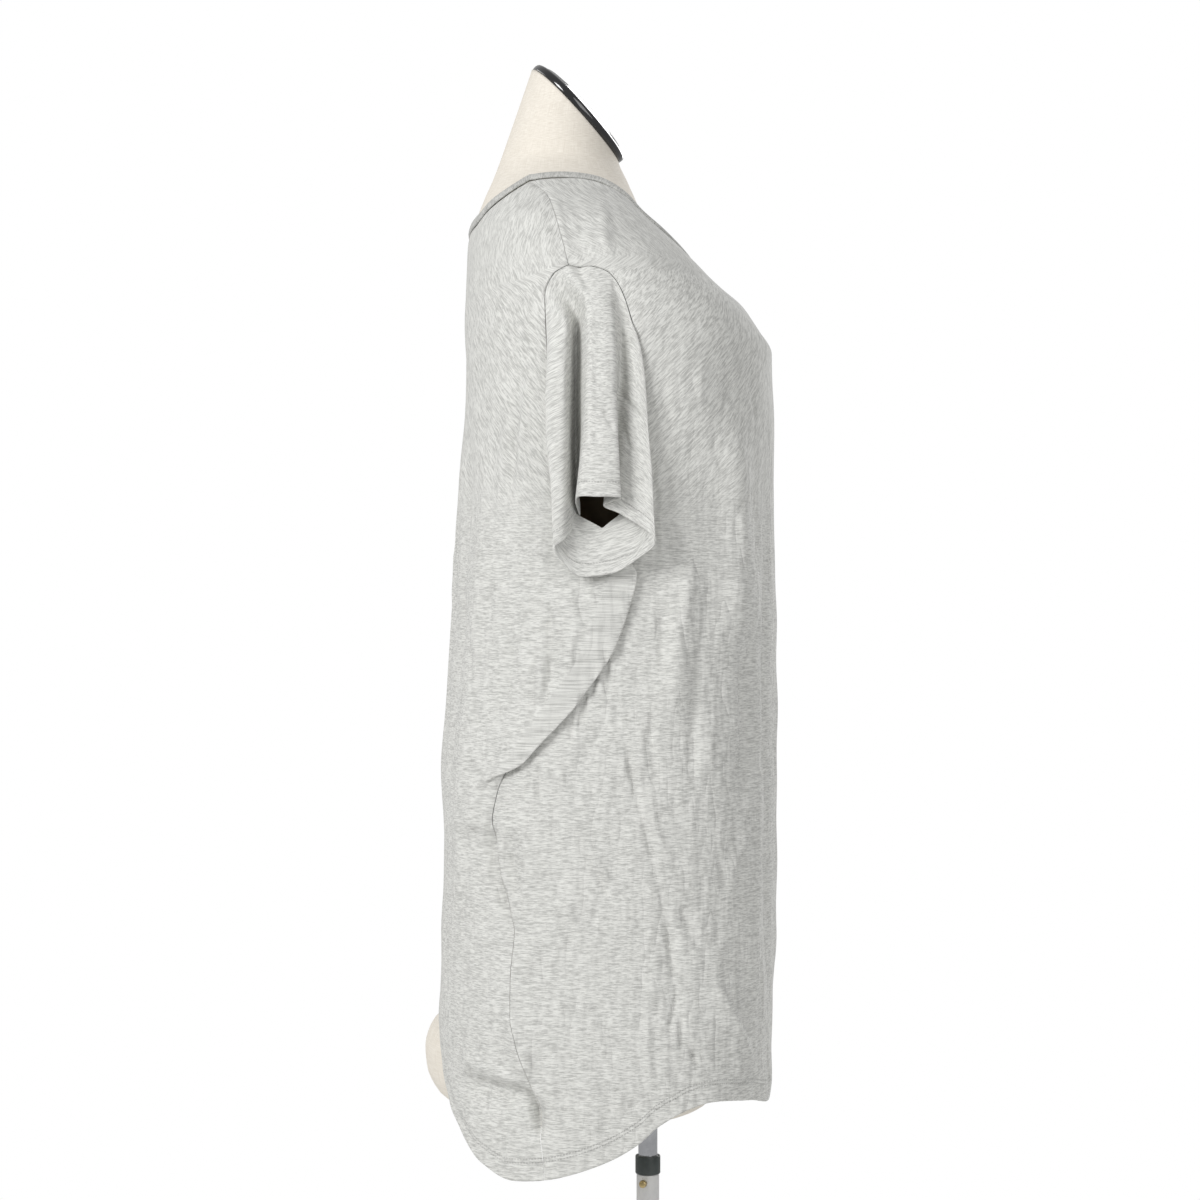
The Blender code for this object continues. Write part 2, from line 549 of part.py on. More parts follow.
def neck_band():
    """A strip that stands up from the neck seam along the surface."""
    turn, height = neck_seam()
    seam = cloth_base(turn, height)
    along = np.roll(seam, -1, axis=0) - np.roll(seam, 1, axis=0)
    step = 0.0005
    rings = []
    for share in BAND_ROWS:
        width = BAND_GAP + (BAND_WIDTH - BAND_GAP) * share
        ring_turn, level = turn, height
        for _ in range(3):
            middle, half_way = (turn + ring_turn) / 2, (height + level) / 2
            ahead, behind = cloth_base(middle + step, half_way), cloth_base(middle - step, half_way)
            above, below = cloth_base(middle, half_way + step), cloth_base(middle, half_way - step)
            round_rate = (ahead - behind) / (2 * step)
            up_rate = (above - below) / (2 * step)
            up = np.cross(cloth_normal(middle, half_way), along)
            up *= np.sign(up[:, 2:]) * width / np.linalg.norm(up, axis=1, keepdims=True)
            level = height + up[:, 2]
            rest = up - up_rate * up[:, 2:]
            ring_turn = turn + np.sum(rest * round_rate, axis=1) / np.sum(round_rate ** 2, axis=1)
        rise = CLEARANCE + (BAND_WALL - WALL) / 2
        rings.append(cloth_base(ring_turn, level) + cloth_normal(ring_turn, level) * rise)
    return np.stack(rings[::-1])


def grid_normals(grid, around):
    """Unit normals of a grid of points, which may close round its second axis."""
    down = np.gradient(grid, axis=0)
    if around:
        across = (np.roll(grid, -1, axis=1) - np.roll(grid, 1, axis=1)) / 2
    else:
        across = np.gradient(grid, axis=1)
    normal = np.cross(down, across)
    return normal / np.linalg.norm(normal, axis=-1, keepdims=True)


def wall_mesh(grid, thick, around=False, top_normals=None):
    """Vertices and faces of a closed wall on both sides of a grid of points."""
    rows, columns = grid.shape[:2]
    normals = grid_normals(grid, around)
    if top_normals is not None:
        normals[0] = top_normals
    outer = grid + normals * thick / 2
    inner = grid - normals * thick / 2
    vertices = np.concatenate([outer.reshape(-1, 3), inner.reshape(-1, 3)])
    size = rows * columns
    faces = []
    spans = columns if around else columns - 1
    for r in range(rows - 1):
        for c in range(spans):
            a, b = r * columns + c, r * columns + (c + 1) % columns
            low_a, low_b = a + columns, b + columns
            faces.append((a, low_a, low_b, b))
            faces.append((size + a, size + b, size + low_b, size + low_a))
    for c in range(spans):
        a, b = c, (c + 1) % columns
        faces.append((a, b, size + b, size + a))
        a, b = a + (rows - 1) * columns, b + (rows - 1) * columns
        faces.append((b, a, size + a, size + b))
    if not around:
        for r in range(rows - 1):
            a, b = r * columns, (r + 1) * columns
            faces.append((b, a, size + a, size + b))
            a, b = a + columns - 1, b + columns - 1
            faces.append((a, b, size + b, size + a))
    return vertices, faces


def material(name):
    colour, roughness, metallic = COLOURS[name]
    found = bpy.data.materials.get(name)
    if found:
        return found
    made = bpy.data.materials.new(name)
    made.use_nodes = True
    shader = made.node_tree.nodes["Principled BSDF"]
    shader.inputs["Base Color"].default_value = (*colour, 1)
    shader.inputs["Roughness"].default_value = roughness
    shader.inputs["Metallic"].default_value = metallic
    return made


def add_object(name, vertices, faces, finish):
    mesh = bpy.data.meshes.new(name)
    mesh.from_pydata([tuple(v) for v in vertices], [], faces)
    solid = bmesh.new()
    solid.from_mesh(mesh)
    bmesh.ops.recalc_face_normals(solid, faces=solid.faces)
    solid.to_mesh(mesh)
    solid.free()
    mesh.shade_smooth()
    mesh.set_sharp_from_angle(angle=0.9)
    mesh.materials.append(material(finish))
    made = bpy.data.objects.new(name, mesh)
    bpy.context.scene.collection.objects.link(made)
    return made


def add_wall(name, grid, thick, finish, around=False, top_normals=None):
    vertices, faces = wall_mesh(grid, thick, around, top_normals)
    return add_object(name, vertices, faces, finish)


def stack_of_rings(rings, top=None):
    """Vertices and faces of a solid through rings of points, from the lowest up."""
    rings = np.asarray(rings)
    count, around = rings.shape[:2]
    vertices = list(rings.reshape(-1, 3))
    faces = []
    for r in range(count - 1):
        for c in range(around):
            a, b = r * around + c, r * around + (c + 1) % around
            faces.append((a, b, b + around, a + around))
    faces.append(tuple(range(around))[::-1])
    if top is None:
        faces.append(tuple((count - 1) * around + c for c in range(around)))
    else:
        vertices.append(top)
        last = (count - 1) * around
        faces += [(last + c, last + (c + 1) % around, len(vertices) - 1) for c in range(around)]
    return vertices, faces


def slanted_ring(turn, height, tilt):
    """The form's ring in a plane that leans forward by tilt times the cap's slope."""
    level = np.full(len(turn), height)
    for _ in range(12):
        x = form_point(turn, level)[:, 0]
        level = height - tilt * CAP_SLOPE * (x - CAP_MIDDLE)
    return form_point(turn, level)


def dress_form():
    turn = np.linspace(0, 1, FORM_AROUND, endpoint=False)
    covered = [0.556, 0.564, 0.576, 0.592, 0.610, 0.628, 0.646, 0.668, 0.720, 0.790, 0.870, 0.940,
               1.010, 1.080, 1.150, 1.200, 1.238, 1.256, 1.275, 1.293, 1.311, 1.330, 1.348, 1.366,
               1.376, 1.386]
    rings = []
    for height in covered:
        ring = form_point(turn, np.full(FORM_AROUND, height))
        slim = 1 - FORM_EASE * (1 - ease(height, 1.330, 1.386))
        rings.append(ring.mean(axis=0) + (ring - ring.mean(axis=0)) * np.array([slim, slim, 1]))
    leaning = ((1.398, 0.10), (1.411, 0.30), (1.428, 0.60), (1.444, 0.82), (CAP_HEIGHT, 1.0))
    rings += [slanted_ring(turn, height, tilt) for height, tilt in leaning]
    vertices, faces = stack_of_rings(rings)
    return add_object("dress_form", vertices, faces, "linen"), rings[-1]


def neck_cap(rim):
    """A thin domed plate on the cut of the neck."""
    centre = rim.mean(axis=0)
    up = np.array([CAP_SLOPE, 0, 1]) / np.hypot(CAP_SLOPE, 1)
    rows = ((0.970, FIT_GAP), (1.000, 0.0016), (1.004, 0.0045), (0.985, 0.0070), (0.90, CAP_THICK))
    rings = [centre + (rim - centre) * size + up * rise for size, rise in rows]
    rings += [centre + (rim - centre) * size + up * (CAP_THICK + CAP_DOME * (1 - size ** 2))
              for size in (0.66, 0.33)]
    top = centre + up * (CAP_THICK + CAP_DOME)
    vertices, faces = stack_of_rings(rings, tuple(top))
    return add_object("neck_cap", vertices, faces, "black")


def arm_plate(name, right):
    """An oval plate that follows the side of the form."""
    sign = 1 if right else -1
    angle = np.linspace(0, 2 * np.pi, PLATE_AROUND, endpoint=False)
    rows = []
    for size in (1.0, 0.75, 0.45, 0.15):
        x = PLATE_X + size * PLATE_HALF_WIDE * np.cos(angle)
        z = PLATE_HEIGHT + size * PLATE_HALF_HIGH * np.sin(angle)
        back, front, half, back_power, front_power = section_values(FORM, z)
        forward = (x - (back + front) / 2) / ((front - back) / 2)
        power = np.where(forward < 0, back_power, front_power)
        y = -half * (1 - np.abs(forward) ** power) ** (1 / power)
        rows.append(np.stack([x, y - PLATE_GAP, z], axis=1))
    inner = np.stack(rows)
    outer = inner - np.array([0, PLATE_WALL, 0])
    grid = np.concatenate([inner[::-1], outer])
    vertices, faces = stack_of_rings(grid)
    vertices = np.array(vertices) * np.array([1, sign, 1])
    return add_object(name, vertices, faces, "brown")


def turned(name, profile, finish, sides=32, bore=None):
    """A round piece from (radius, height) pairs, lowest first, with a bore if asked."""
    angle = np.linspace(0, 2 * np.pi, sides, endpoint=False)
    circle = np.stack([np.cos(angle), np.sin(angle), 0 * angle], axis=1)
    rings = [circle * radius + np.array([0, 0, height]) for radius, height in profile]
    if bore is None:
        vertices, faces = stack_of_rings(rings)
        return add_object(name, vertices, faces, finish)
    rings += [circle * bore + np.array([0, 0, height]) for height in (profile[-1][1], profile[0][1])]
    count = len(rings)
    vertices = np.concatenate(rings)
    faces = []
    for r in range(count):
        for c in range(sides):
            a, b = r * sides + c, r * sides + (c + 1) % sides
            low_a, low_b = ((r + 1) % count) * sides + c, ((r + 1) % count) * sides + (c + 1) % sides
            faces.append((a, b, low_b, low_a))
    return add_object(name, vertices, faces, finish)


def stand():
    turned("base", [(BASE_RADIUS, 0.0), (BASE_RADIUS, BASE_RIM - 0.002), (BASE_RADIUS - 0.002, BASE_RIM),
                    (0.105, 0.0100), (SOCKET_RADIUS + 0.010, BASE_CROWN), (SOCKET_RADIUS + 0.002, 0.0160),
                    (SOCKET_RADIUS, 0.020), (SOCKET_RADIUS, SOCKET_TOP)], "painted", BASE_SIDES)
    turned("pole_lower", [(LOWER_TUBE_RADIUS, SOCKET_TOP + FIT_GAP),
                          (LOWER_TUBE_RADIUS, COLLAR_BOTTOM - FIT_GAP)], "painted", TUBE_SIDES)
    turned("pole_upper", [(POLE_RADIUS, COLLAR_BOTTOM),
                          (POLE_RADIUS, FORM[0, 0] - FIT_GAP)], "chrome", TUBE_SIDES)
    turned("pole_collar", [(COLLAR_RADIUS - 0.001, COLLAR_BOTTOM), (COLLAR_RADIUS, COLLAR_BOTTOM + 0.001),
                           (COLLAR_RADIUS, COLLAR_TOP - 0.001), (COLLAR_RADIUS - 0.001, COLLAR_TOP)],
           "collar", BASE_SIDES, POLE_RADIUS + FIT_GAP)
    screw = turned("thumb_screw", [(SCREW_RADIUS * 0.55, 0.0), (SCREW_RADIUS * 0.55, 0.0025),
                                   (SCREW_RADIUS, 0.0032), (SCREW_RADIUS, SCREW_REACH - 0.0006),
                                   (SCREW_RADIUS * 0.8, SCREW_REACH)], "brass", 16)
    aim = Vector((-0.30, -1.0, 0)).normalized()
    start = aim * (LOWER_TUBE_RADIUS + FIT_GAP) + Vector((0, 0, SCREW_HEIGHT))
    turn = Vector((0, 0, 1)).rotation_difference(aim).to_matrix().to_4x4()
    screw.matrix_world = Matrix.Translation(start) @ turn


def main():
    for found in list(bpy.data.objects):
        bpy.data.objects.remove(found, do_unlink=True)
    _, rim = dress_form()
    neck_cap(rim)
    arm_plate("arm_plate_right", True)
    arm_plate("arm_plate_left", False)
    stand()
    for name, (grid, top_normals) in (("front_panel", front_panel()), ("back_panel", back_panel())):
        add_wall(name, grid, WALL, "cloth", top_normals=top_normals)
    sleeve = sleeve_loops()
    add_wall("sleeve_right", sleeve, WALL, "cloth", around=True)
    add_wall("sleeve_left", mirrored(sleeve), WALL, "cloth", around=True)
    add_wall("neck_band", neck_band(), BAND_WALL, "cloth", around=True)


main()
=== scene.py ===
"""The looks of a heather nightshirt on a limbless dress form, in metres.

The wearer faces +X and the wearer's right side faces -Y. Heights are Z. A turn
goes once round the body: 0 is the middle of the back, 0.25 the right side and
0.5 the middle of the front. Every cloth piece is a fine thin sheet on the form
of its solid, with its creases raised or sunk in it.
"""

import bpy
import numpy as np
from mathutils import Matrix, Vector

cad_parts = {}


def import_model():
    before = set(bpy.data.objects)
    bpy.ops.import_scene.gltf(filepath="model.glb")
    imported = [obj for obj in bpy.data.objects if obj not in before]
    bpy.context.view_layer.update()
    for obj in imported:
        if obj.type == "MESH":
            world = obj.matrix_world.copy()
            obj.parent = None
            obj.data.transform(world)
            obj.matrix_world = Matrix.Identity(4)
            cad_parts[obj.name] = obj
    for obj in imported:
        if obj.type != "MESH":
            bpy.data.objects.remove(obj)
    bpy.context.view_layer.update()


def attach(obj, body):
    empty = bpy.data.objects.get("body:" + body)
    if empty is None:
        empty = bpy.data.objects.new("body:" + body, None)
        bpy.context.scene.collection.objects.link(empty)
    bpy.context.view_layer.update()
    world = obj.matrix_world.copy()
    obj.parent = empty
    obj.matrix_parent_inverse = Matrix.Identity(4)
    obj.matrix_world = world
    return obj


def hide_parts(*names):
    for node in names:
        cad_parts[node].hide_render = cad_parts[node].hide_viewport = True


# Gaps and layers of the cloth
CLEARANCE = 0.0021
LEAST_GAP = 0.0007
SEAM_GAP = 0.0003
SEAM_INSET = 0.0004
SEAM_DIP = 0.0010
SEAM_DIP_WIDTH = 0.0024
FOLD_SPACING = 0.0035
HEM_DEPTH = 0.0165
SLEEVE_HEM_DEPTH = 0.012
HEM_LAYER = 0.0012
HEM_ROLL = 0.3

# Below this height the form no longer shapes the cloth
FORM_REACH = 0.665
# How softly the form's shape and the hanging shape run into each other
MEETING_SOFTNESS = 0.003

# Grid of the fine cloth: points across each half of a panel and down each stretch of its side
COLUMNS_RIGHT = 150
COLUMNS_LEFT = 96
COLUMNS_TUCK = 22
TUCK_SHARE = 0.06
ROWS_SHOULDER = 42
ROWS_ARMHOLE = 96
ROWS_SIDE = 206
ROW_WEIGHTS = (0.45, 1.0)
SPREAD_END = 0.45
NEAR_SEAM = (0.0, 0.0015, 0.0045)
NECK_POINTS = 60
SLEEVE_ROWS = 96
SLEEVE_AROUND = 220
SLEEVE_START_FADE = 0.12
BAND_AROUND = 420
BAND_STRIP = 0.036
TURN_HALVINGS = 40

# The cut cloth is laid out between these heights. Its left half lies apart from its right half,
# so that the marks of the yarn don't repeat.
CUT_HEIGHTS = (0.5, 1.42)
CUT_STEPS = 400
CUT_HALVES_APART = 7.0

# Creases: how they fade at both ends, as shares of their length, and how squarely the cloth
# has to face their side
CREASE_BOOST = 1.5
END_FADE = (-0.02, 0.25)
FACING = (0.25, 0.70)
SLEEVE_FACING = (0.35, 0.80)
CREASE_REACH = 3
# The same creases on the wearer's left: their share of the distance forward, and the move
LEFT_SHARE = 0.9
LEFT_FORWARD = -0.010
LEFT_UP = 0.030

# Small waves and wrinkles that no table lists
SEED = 41
WAVE_COUNT = 24
WAVE_RISE = 0.00012
WAVE_LENGTHS = (0.025, 0.090)
SLEEVE_WAVE_SHIFT = 0.3
WRINKLES_A_SIDE = 60
WRINKLE_SIDES = (("right", -0.168, 0.096), ("left", -0.168, 0.096),
                 ("front", -0.170, 0.170), ("back", -0.170, 0.170))
WRINKLE_LENGTHS = (0.025, 0.080)
WRINKLE_WIDTHS = (0.0025, 0.0040)
WRINKLE_RISES = (0.0008, 0.0018)
WRINKLE_LEAN = 0.45
WRINKLE_BEND = 0.15
WRINKLE_HEIGHTS = (0.580, 1.200)
RIDGE_SHARE = 0.4

# Evening out of the upper rows and of the neck binding
RELAXED_ROWS = 96
RELAX_STRENGTH = 0.8
RELAX_FADE = 0.65
RELAX_EDGE = 3
RELAX_PASSES = 60
STEADY_REACH = 16

# Camera and floor
CAMERA_PLACE = (-0.044, -2.4, 1.017)
CAMERA_LENS = 78.3
SENSOR_WIDTH = 36.0
CLIP = (0.05, 50.0)
FLOOR_RADIUS = 1.4
FLOOR_AROUND = 96

# Light: name, place, size, power
WORLD_LIGHT = 0.42
WHITE = (1.0, 1.0, 1.0, 1.0)
LIGHT_TARGET = (-0.04, 0.0, 1.0)
LIGHTS = [
    ("key", (-2.0, -2.2, 2.2), 1.2, 63.0),
    ("fill", (1.4, -2.8, 1.6), 1.8, 26.0),
    ("far side", (1.6, 2.6, 2.2), 1.8, 55.0),
    ("behind", (-2.6, 1.6, 1.9), 1.8, 17.0),
]

# Yarn of the jersey: marks a metre along and across, then colours
STREAK_LONG = 160.0
STREAK_THIN = 1250.0
STREAK_RANGE = (0.36, 0.62)
YARN_DARK = (0.400, 0.400, 0.382)
YARN_LIGHT = (0.700, 0.700, 0.670)
YARN_LIGHTEST = 0.90
FIBRE_SCALE = 1500.0
FIBRE_RANGE = (0.35, 0.70)
FIBRE_COLOUR = (0.78, 0.78, 0.75)
FIBRE_SHARE = 0.16
KNIT_DEPTH = 0.00045
# Heights over which the marks turn to the bias and then upright
BIAS_HEIGHTS = (1.060, 1.140)
UPRIGHT_HEIGHTS = (1.290, 1.330)
# Fine crumples: scale along each axis, depth, and the heights over which they calm down
CRUMPLE_SCALE = (46.0, 46.0, 13.0)
CRUMPLE_DEPTH = 0.0100
CALM_HEIGHTS = (1.060, 1.220)
CALM_SHARE = 0.25
STITCH_LENGTH = 0.0026
STITCH_GAP = 0.0016
STITCH_WIDTHS = (0.0003, 0.0007)
STITCH_DEPTH = -0.0006
THREAD_COLOUR = (0.20, 0.20, 0.19, 1.0)
THREAD_SHARE = 0.28

# Sizes the cloth was cut to, in metres
FRONT_AREA = 0.50
BACK_AREA = 0.50

# Stand
POLE_RADIUS = 0.0088
LOWER_TUBE_RADIUS = 0.0104
COLLAR_RADIUS = 0.0115
COLLAR_BOTTOM = 0.4900
COLLAR_TOP = 0.5070
BASE_RADIUS = 0.175
BASE_RIM = 0.006
BASE_CROWN = 0.013
SOCKET_RADIUS = 0.017
SOCKET_TOP = 0.040
SCREW_RADIUS = 0.0034
SCREW_REACH = 0.0085
SCREW_HEIGHT = 0.4835
SCREW_AIM = (-0.30, -1.0, 0.0)
FIT_GAP = 0.0003

# Neck cap, a plate on the slanted cut of the neck
CAP_HEIGHT = 1.4600
CAP_MIDDLE = -0.0660
CAP_SLOPE = 1.05
CAP_THICK = 0.0085
CAP_DOME = 0.0060

# Flat oval plates where the arms of the form would be
PLATE_X = -0.045
PLATE_HEIGHT = 1.172
PLATE_HALF_WIDE = 0.046
PLATE_HALF_HIGH = 0.100
PLATE_WALL = 0.003
PLATE_GAP = 0.0002
PLATE_AROUND = 72
PLATE_SIZES = (0.15, 0.45, 0.75, 0.96)

# The skin of the form: points round it, how far it stays inside its solid, and its side seams
FORM_AROUND = 128
FORM_ROWS = 150
FORM_EASE = 0.006
FORM_SEAM_DIP = 0.0004
FORM_GIRTH = 0.90
SHOULDER_TOP = 1.330
NECK_FOOT = 1.386
NECK_ROWS = 26
RING_PASSES = 12
# Its rolled foot: size, height
FORM_FOOT = ((0.30, 0.5560), (0.80, 0.5560), (0.965, 0.5562), (0.992, 0.5575))
FIRST_RING = 0.560

# The dress form: height, back, front, half width, squareness of the back and of the front
FORM = np.array([
    (0.556, -0.172, 0.052, 0.128, 2.0, 2.0),
    (0.572, -0.194, 0.066, 0.148, 2.0, 2.0),
    (0.592, -0.2035, 0.073, 0.157, 2.0, 2.0),
    (0.610, -0.205, 0.076, 0.161, 2.0, 2.0),
    (0.628, -0.200, 0.078, 0.164, 2.0, 2.0),
    (0.646, -0.1850, 0.079, 0.168, 2.1, 2.1),
    (0.665, -0.1815, 0.080, 0.171, 2.2, 2.2),
    (0.740, -0.178, 0.082, 0.172, 2.3, 2.3),
    (0.800, -0.170, 0.082, 0.168, 2.3, 2.3),
    (0.880, -0.152, 0.078, 0.156, 2.3, 2.3),
    (0.950, -0.136, 0.071, 0.143, 2.3, 2.3),
    (1.020, -0.127, 0.067, 0.135, 2.3, 2.3),
    (1.080, -0.133, 0.076, 0.141, 2.3, 2.3),
    (1.150, -0.147, 0.095, 0.153, 2.3, 2.3),
    (1.200, -0.157, 0.106, 0.163, 2.3, 2.3),
    (1.238, -0.1628, 0.1095, 0.171, 2.3, 2.4),
    (1.256, -0.1638, 0.1000, 0.175, 2.2, 2.5),
    (1.275, -0.1642, 0.0848, 0.178, 2.2, 2.6),
    (1.293, -0.1640, 0.0655, 0.180, 2.1, 2.6),
    (1.311, -0.1638, 0.0472, 0.179, 2.0, 2.6),
    (1.330, -0.1633, 0.0292, 0.174, 2.0, 2.6),
    (1.342, -0.1625, 0.0180, 0.168, 2.0, 2.6),
    (1.366, -0.1565, -0.0040, 0.137, 2.0, 2.4),
    (1.386, -0.1490, -0.0125, 0.103, 2.0, 2.1),
    (1.400, -0.1430, -0.0185, 0.080, 2.0, 2.0),
    (1.420, -0.1355, -0.0270, 0.059, 2.0, 2.0),
    (1.440, -0.1285, -0.0290, 0.0560, 2.0, 2.0),
    (1.460, -0.1215, -0.0300, 0.0550, 2.0, 2.0),
    (1.505, -0.1060, -0.0300, 0.0540, 2.0, 2.0),
])

# How deep the middle of the chest dips between the two sides: height, depth
HOLLOW = np.array([(1.050, 0.0), (1.150, 0.006), (1.238, 0.013), (1.300, 0.008), (1.335, 0.006),
                   (1.362, 0.002), (1.376, 0.0)])
HOLLOW_WIDTH = 0.050

# The cloth where it hangs clear of the form, same columns
HANG = np.array([
    (0.500, -0.186, 0.1095, 0.212, 2.9, 2.9),
    (0.649, -0.1888, 0.1115, 0.210, 2.9, 2.9),
    (0.704, -0.1875, 0.1120, 0.208, 2.9, 2.9),
    (0.796, -0.1852, 0.1130, 0.206, 2.8, 2.8),
    (0.870, -0.1845, 0.1132, 0.204, 2.8, 2.8),
    (0.943, -0.1790, 0.1135, 0.202, 2.7, 2.7),
    (1.017, -0.1745, 0.1140, 0.200, 2.7, 2.7),
    (1.091, -0.1715, 0.1140, 0.200, 2.6, 2.6),
    (1.164, -0.1680, 0.1138, 0.204, 2.5, 2.5),
    (1.238, -0.1640, 0.1110, 0.206, 2.4, 2.4),
    (1.275, -0.1600, 0.0700, 0.203, 2.2, 2.6),
    (1.300, -0.1500, 0.0300, 0.1975, 2.1, 2.6),
    (1.320, -0.1400, 0.0000, 0.189, 2.0, 2.6),
    (1.342, -0.1300, -0.030, 0.165, 2.0, 2.6),
    (1.366, -0.1200, -0.050, 0.120, 2.0, 2.6),
    (1.420, -0.1100, -0.060, 0.040, 2.0, 2.0),
])

# Lines on the side of the body: distance forward, height
SHOULDER_SEAM = [(-0.106, 1.386), (-0.089, 1.366), (-0.080, 1.338), (-0.071, 1.301)]
ARMHOLE_FRONT = [(-0.071, 1.301), (-0.052, 1.299), (-0.036, 1.293), (-0.020, 1.262),
                 (-0.010, 1.215), (-0.008, 1.160), (-0.018, 1.100), (-0.042, 1.077)]
ARMHOLE_BACK = [(-0.071, 1.301), (-0.083, 1.293), (-0.090, 1.276), (-0.089, 1.232),
                (-0.086, 1.165), (-0.072, 1.097), (-0.042, 1.077)]
SIDE_SEAM = [(-0.042, 1.077), (-0.031, 1.048), (-0.040, 1.016), (-0.053, 0.978), (-0.080, 0.936),
             (-0.114, 0.886), (-0.131, 0.852), (-0.137, 0.815), (-0.133, 0.781), (-0.124, 0.757),
             (-0.116, 0.738), (-0.118, 0.675), (-0.112, 0.645), (-0.103, 0.610), (-0.094, 0.563),
             (-0.090, 0.529)]
# The left side seam runs nearer the middle of the side
LEFT_SEAM_SHARE = 0.75
LEFT_SEAM_BACK = 0.012
NECKLINE_FRONT = [(-0.106, 1.386), (-0.079, 1.388), (-0.050, 1.3855), (-0.026, 1.374),
                  (-0.005, 1.354), (0.018, 1.335), (0.036, 1.321), (0.0475, 1.3115)]
NECKLINE_BACK = [(-0.106, 1.386), (-0.126, 1.3725), (-0.141, 1.362), (-0.153, 1.351),
                 (-0.1635, 1.3465)]

# How far the back cloth laps over the front below the right arm: height, lap. The cloth is
# lifted from a lap of LAP_LIFTED on, and folded under from LAP_FORMED on.
LAP = np.array([(0.800, 0.0), (0.846, 0.0), (0.885, 0.014), (0.936, 0.022), (1.016, 0.022),
                (1.040, 0.019), (1.060, 0.006), (1.072, 0.0), (1.420, 0.0)])
LAP_LIFTED = 0.006
LAP_LIFT_BELOW = 0.035
LAP_FORMED = 0.013
LAP_SHARE_LEFT = 0.55
LAP_FADE = 0.16
# The folded edge in steps from its inner end out, round the fold and back: share of the lap,
# move in fold radii, layers above the front cloth
LAP_STEPS = np.array([(-0.2, 0, 2), (0.8, -2, 2), (1, -0.6, 1.9), (1, 0, 1.5), (1, -0.9, 1.05),
                      (0.35, 0, 0.9), (0, 0.8, 0.6), (0, 0, 0.1)])

# Hem height round the body: turn, height. The sides droop lowest.
HEM = np.array([
    (0.000, 0.648), (0.030, 0.648), (0.044, 0.643), (0.066, 0.618), (0.090, 0.582),
    (0.108, 0.5665), (0.122, 0.552), (0.139, 0.538), (0.168, 0.5275), (0.190, 0.529),
    (0.216, 0.534), (0.2525, 0.546), (0.280, 0.561), (0.297, 0.575), (0.3256, 0.589),
    (0.343, 0.5925), (0.385, 0.587), (0.4226, 0.578), (0.455, 0.590), (0.500, 0.603),
])

# Large folds: side, path as (across, height) pairs, half width, rise (minus is a trough)
# Across is X on the right and left sides, and Y on the front and back.
FOLDS = [
    ("right", [(-0.126, 0.826), (-0.120, 0.790), (-0.112, 0.750)], 0.013, -0.0060),
    ("right", [(-0.119, 0.735), (-0.118, 0.675), (-0.112, 0.645), (-0.103, 0.610)], 0.013, 0.0040),
    ("right", [(-0.165, 0.600), (-0.128, 0.590), (-0.108, 0.585), (-0.099, 0.560)], 0.013, -0.0060),
    ("right", [(0.049, 0.700), (0.088, 0.607)], 0.012, 0.0035),
    ("right", [(0.012, 0.760), (0.018, 0.690), (0.014, 0.655)], 0.012, -0.0035),
    ("right", [(0.030, 1.060), (0.026, 0.980), (0.016, 0.900)], 0.014, 0.0035),
    ("right", [(0.072, 1.180), (0.074, 1.060), (0.072, 0.960)], 0.016, 0.0045),
    ("right", [(0.092, 1.015), (0.088, 0.940), (0.084, 0.840)], 0.013, -0.0055),
    ("right", [(-0.134, 1.190), (-0.142, 1.130), (-0.146, 1.060)], 0.012, -0.0040),
    ("right", [(-0.070, 1.030), (-0.085, 0.980), (-0.102, 0.930)], 0.013, 0.0050),
    ("left", [(-0.110, 0.850), (-0.104, 0.790), (-0.112, 0.720)], 0.013, -0.0050),
    ("left", [(-0.126, 1.190), (-0.132, 1.060), (-0.138, 0.950)], 0.013, 0.0040),
    ("left", [(0.040, 1.070), (0.028, 0.960), (0.020, 0.860)], 0.013, 0.0040),
    ("left", [(0.070, 1.150), (0.072, 1.000), (0.064, 0.860)], 0.013, -0.0045),
    ("left", [(0.010, 0.800), (0.024, 0.700), (0.020, 0.610)], 0.013, -0.0040),
    ("left", [(-0.060, 0.820), (-0.040, 0.700), (-0.052, 0.600)], 0.014, 0.0045),
    ("left", [(-0.160, 0.606), (-0.120, 0.590), (-0.100, 0.555)], 0.013, -0.0055),
    ("front", [(-0.150, 1.100), (-0.142, 0.900), (-0.150, 0.640)], 0.015, 0.0050),
    ("front", [(-0.105, 1.150), (-0.112, 0.900), (-0.104, 0.620)], 0.014, -0.0050),
    ("front", [(-0.045, 1.080), (-0.052, 0.850), (-0.040, 0.620)], 0.018, 0.0030),
    ("front", [(0.030, 1.120), (0.024, 0.900), (0.036, 0.620)], 0.015, -0.0045),
    ("front", [(0.095, 1.160), (0.104, 0.900), (0.092, 0.620)], 0.017, 0.0045),
    ("front", [(0.150, 1.080), (0.142, 0.860), (0.152, 0.640)], 0.013, -0.0045),
    ("front", [(-0.078, 1.300), (-0.012, 1.275), (0.066, 1.296)], 0.016, 0.0030),
    ("back", [(-0.140, 1.180), (-0.146, 0.950), (-0.138, 0.700)], 0.014, 0.0050),
    ("back", [(-0.094, 1.200), (-0.100, 1.000), (-0.090, 0.800)], 0.013, -0.0045),
    ("back", [(-0.035, 1.180), (-0.042, 0.980), (-0.034, 0.780)], 0.016, 0.0035),
    ("back", [(0.030, 1.160), (0.022, 1.000), (0.034, 0.850)], 0.013, -0.0040),
    ("back", [(0.088, 1.200), (0.098, 0.960), (0.086, 0.720)], 0.016, 0.0050),
    ("back", [(0.142, 1.160), (0.136, 0.960), (0.146, 0.700)], 0.013, -0.0045),
]
SIDE_AXES = {"right": (1, -1), "left": (1, 1), "front": (0, 1), "back": (0, -1)}

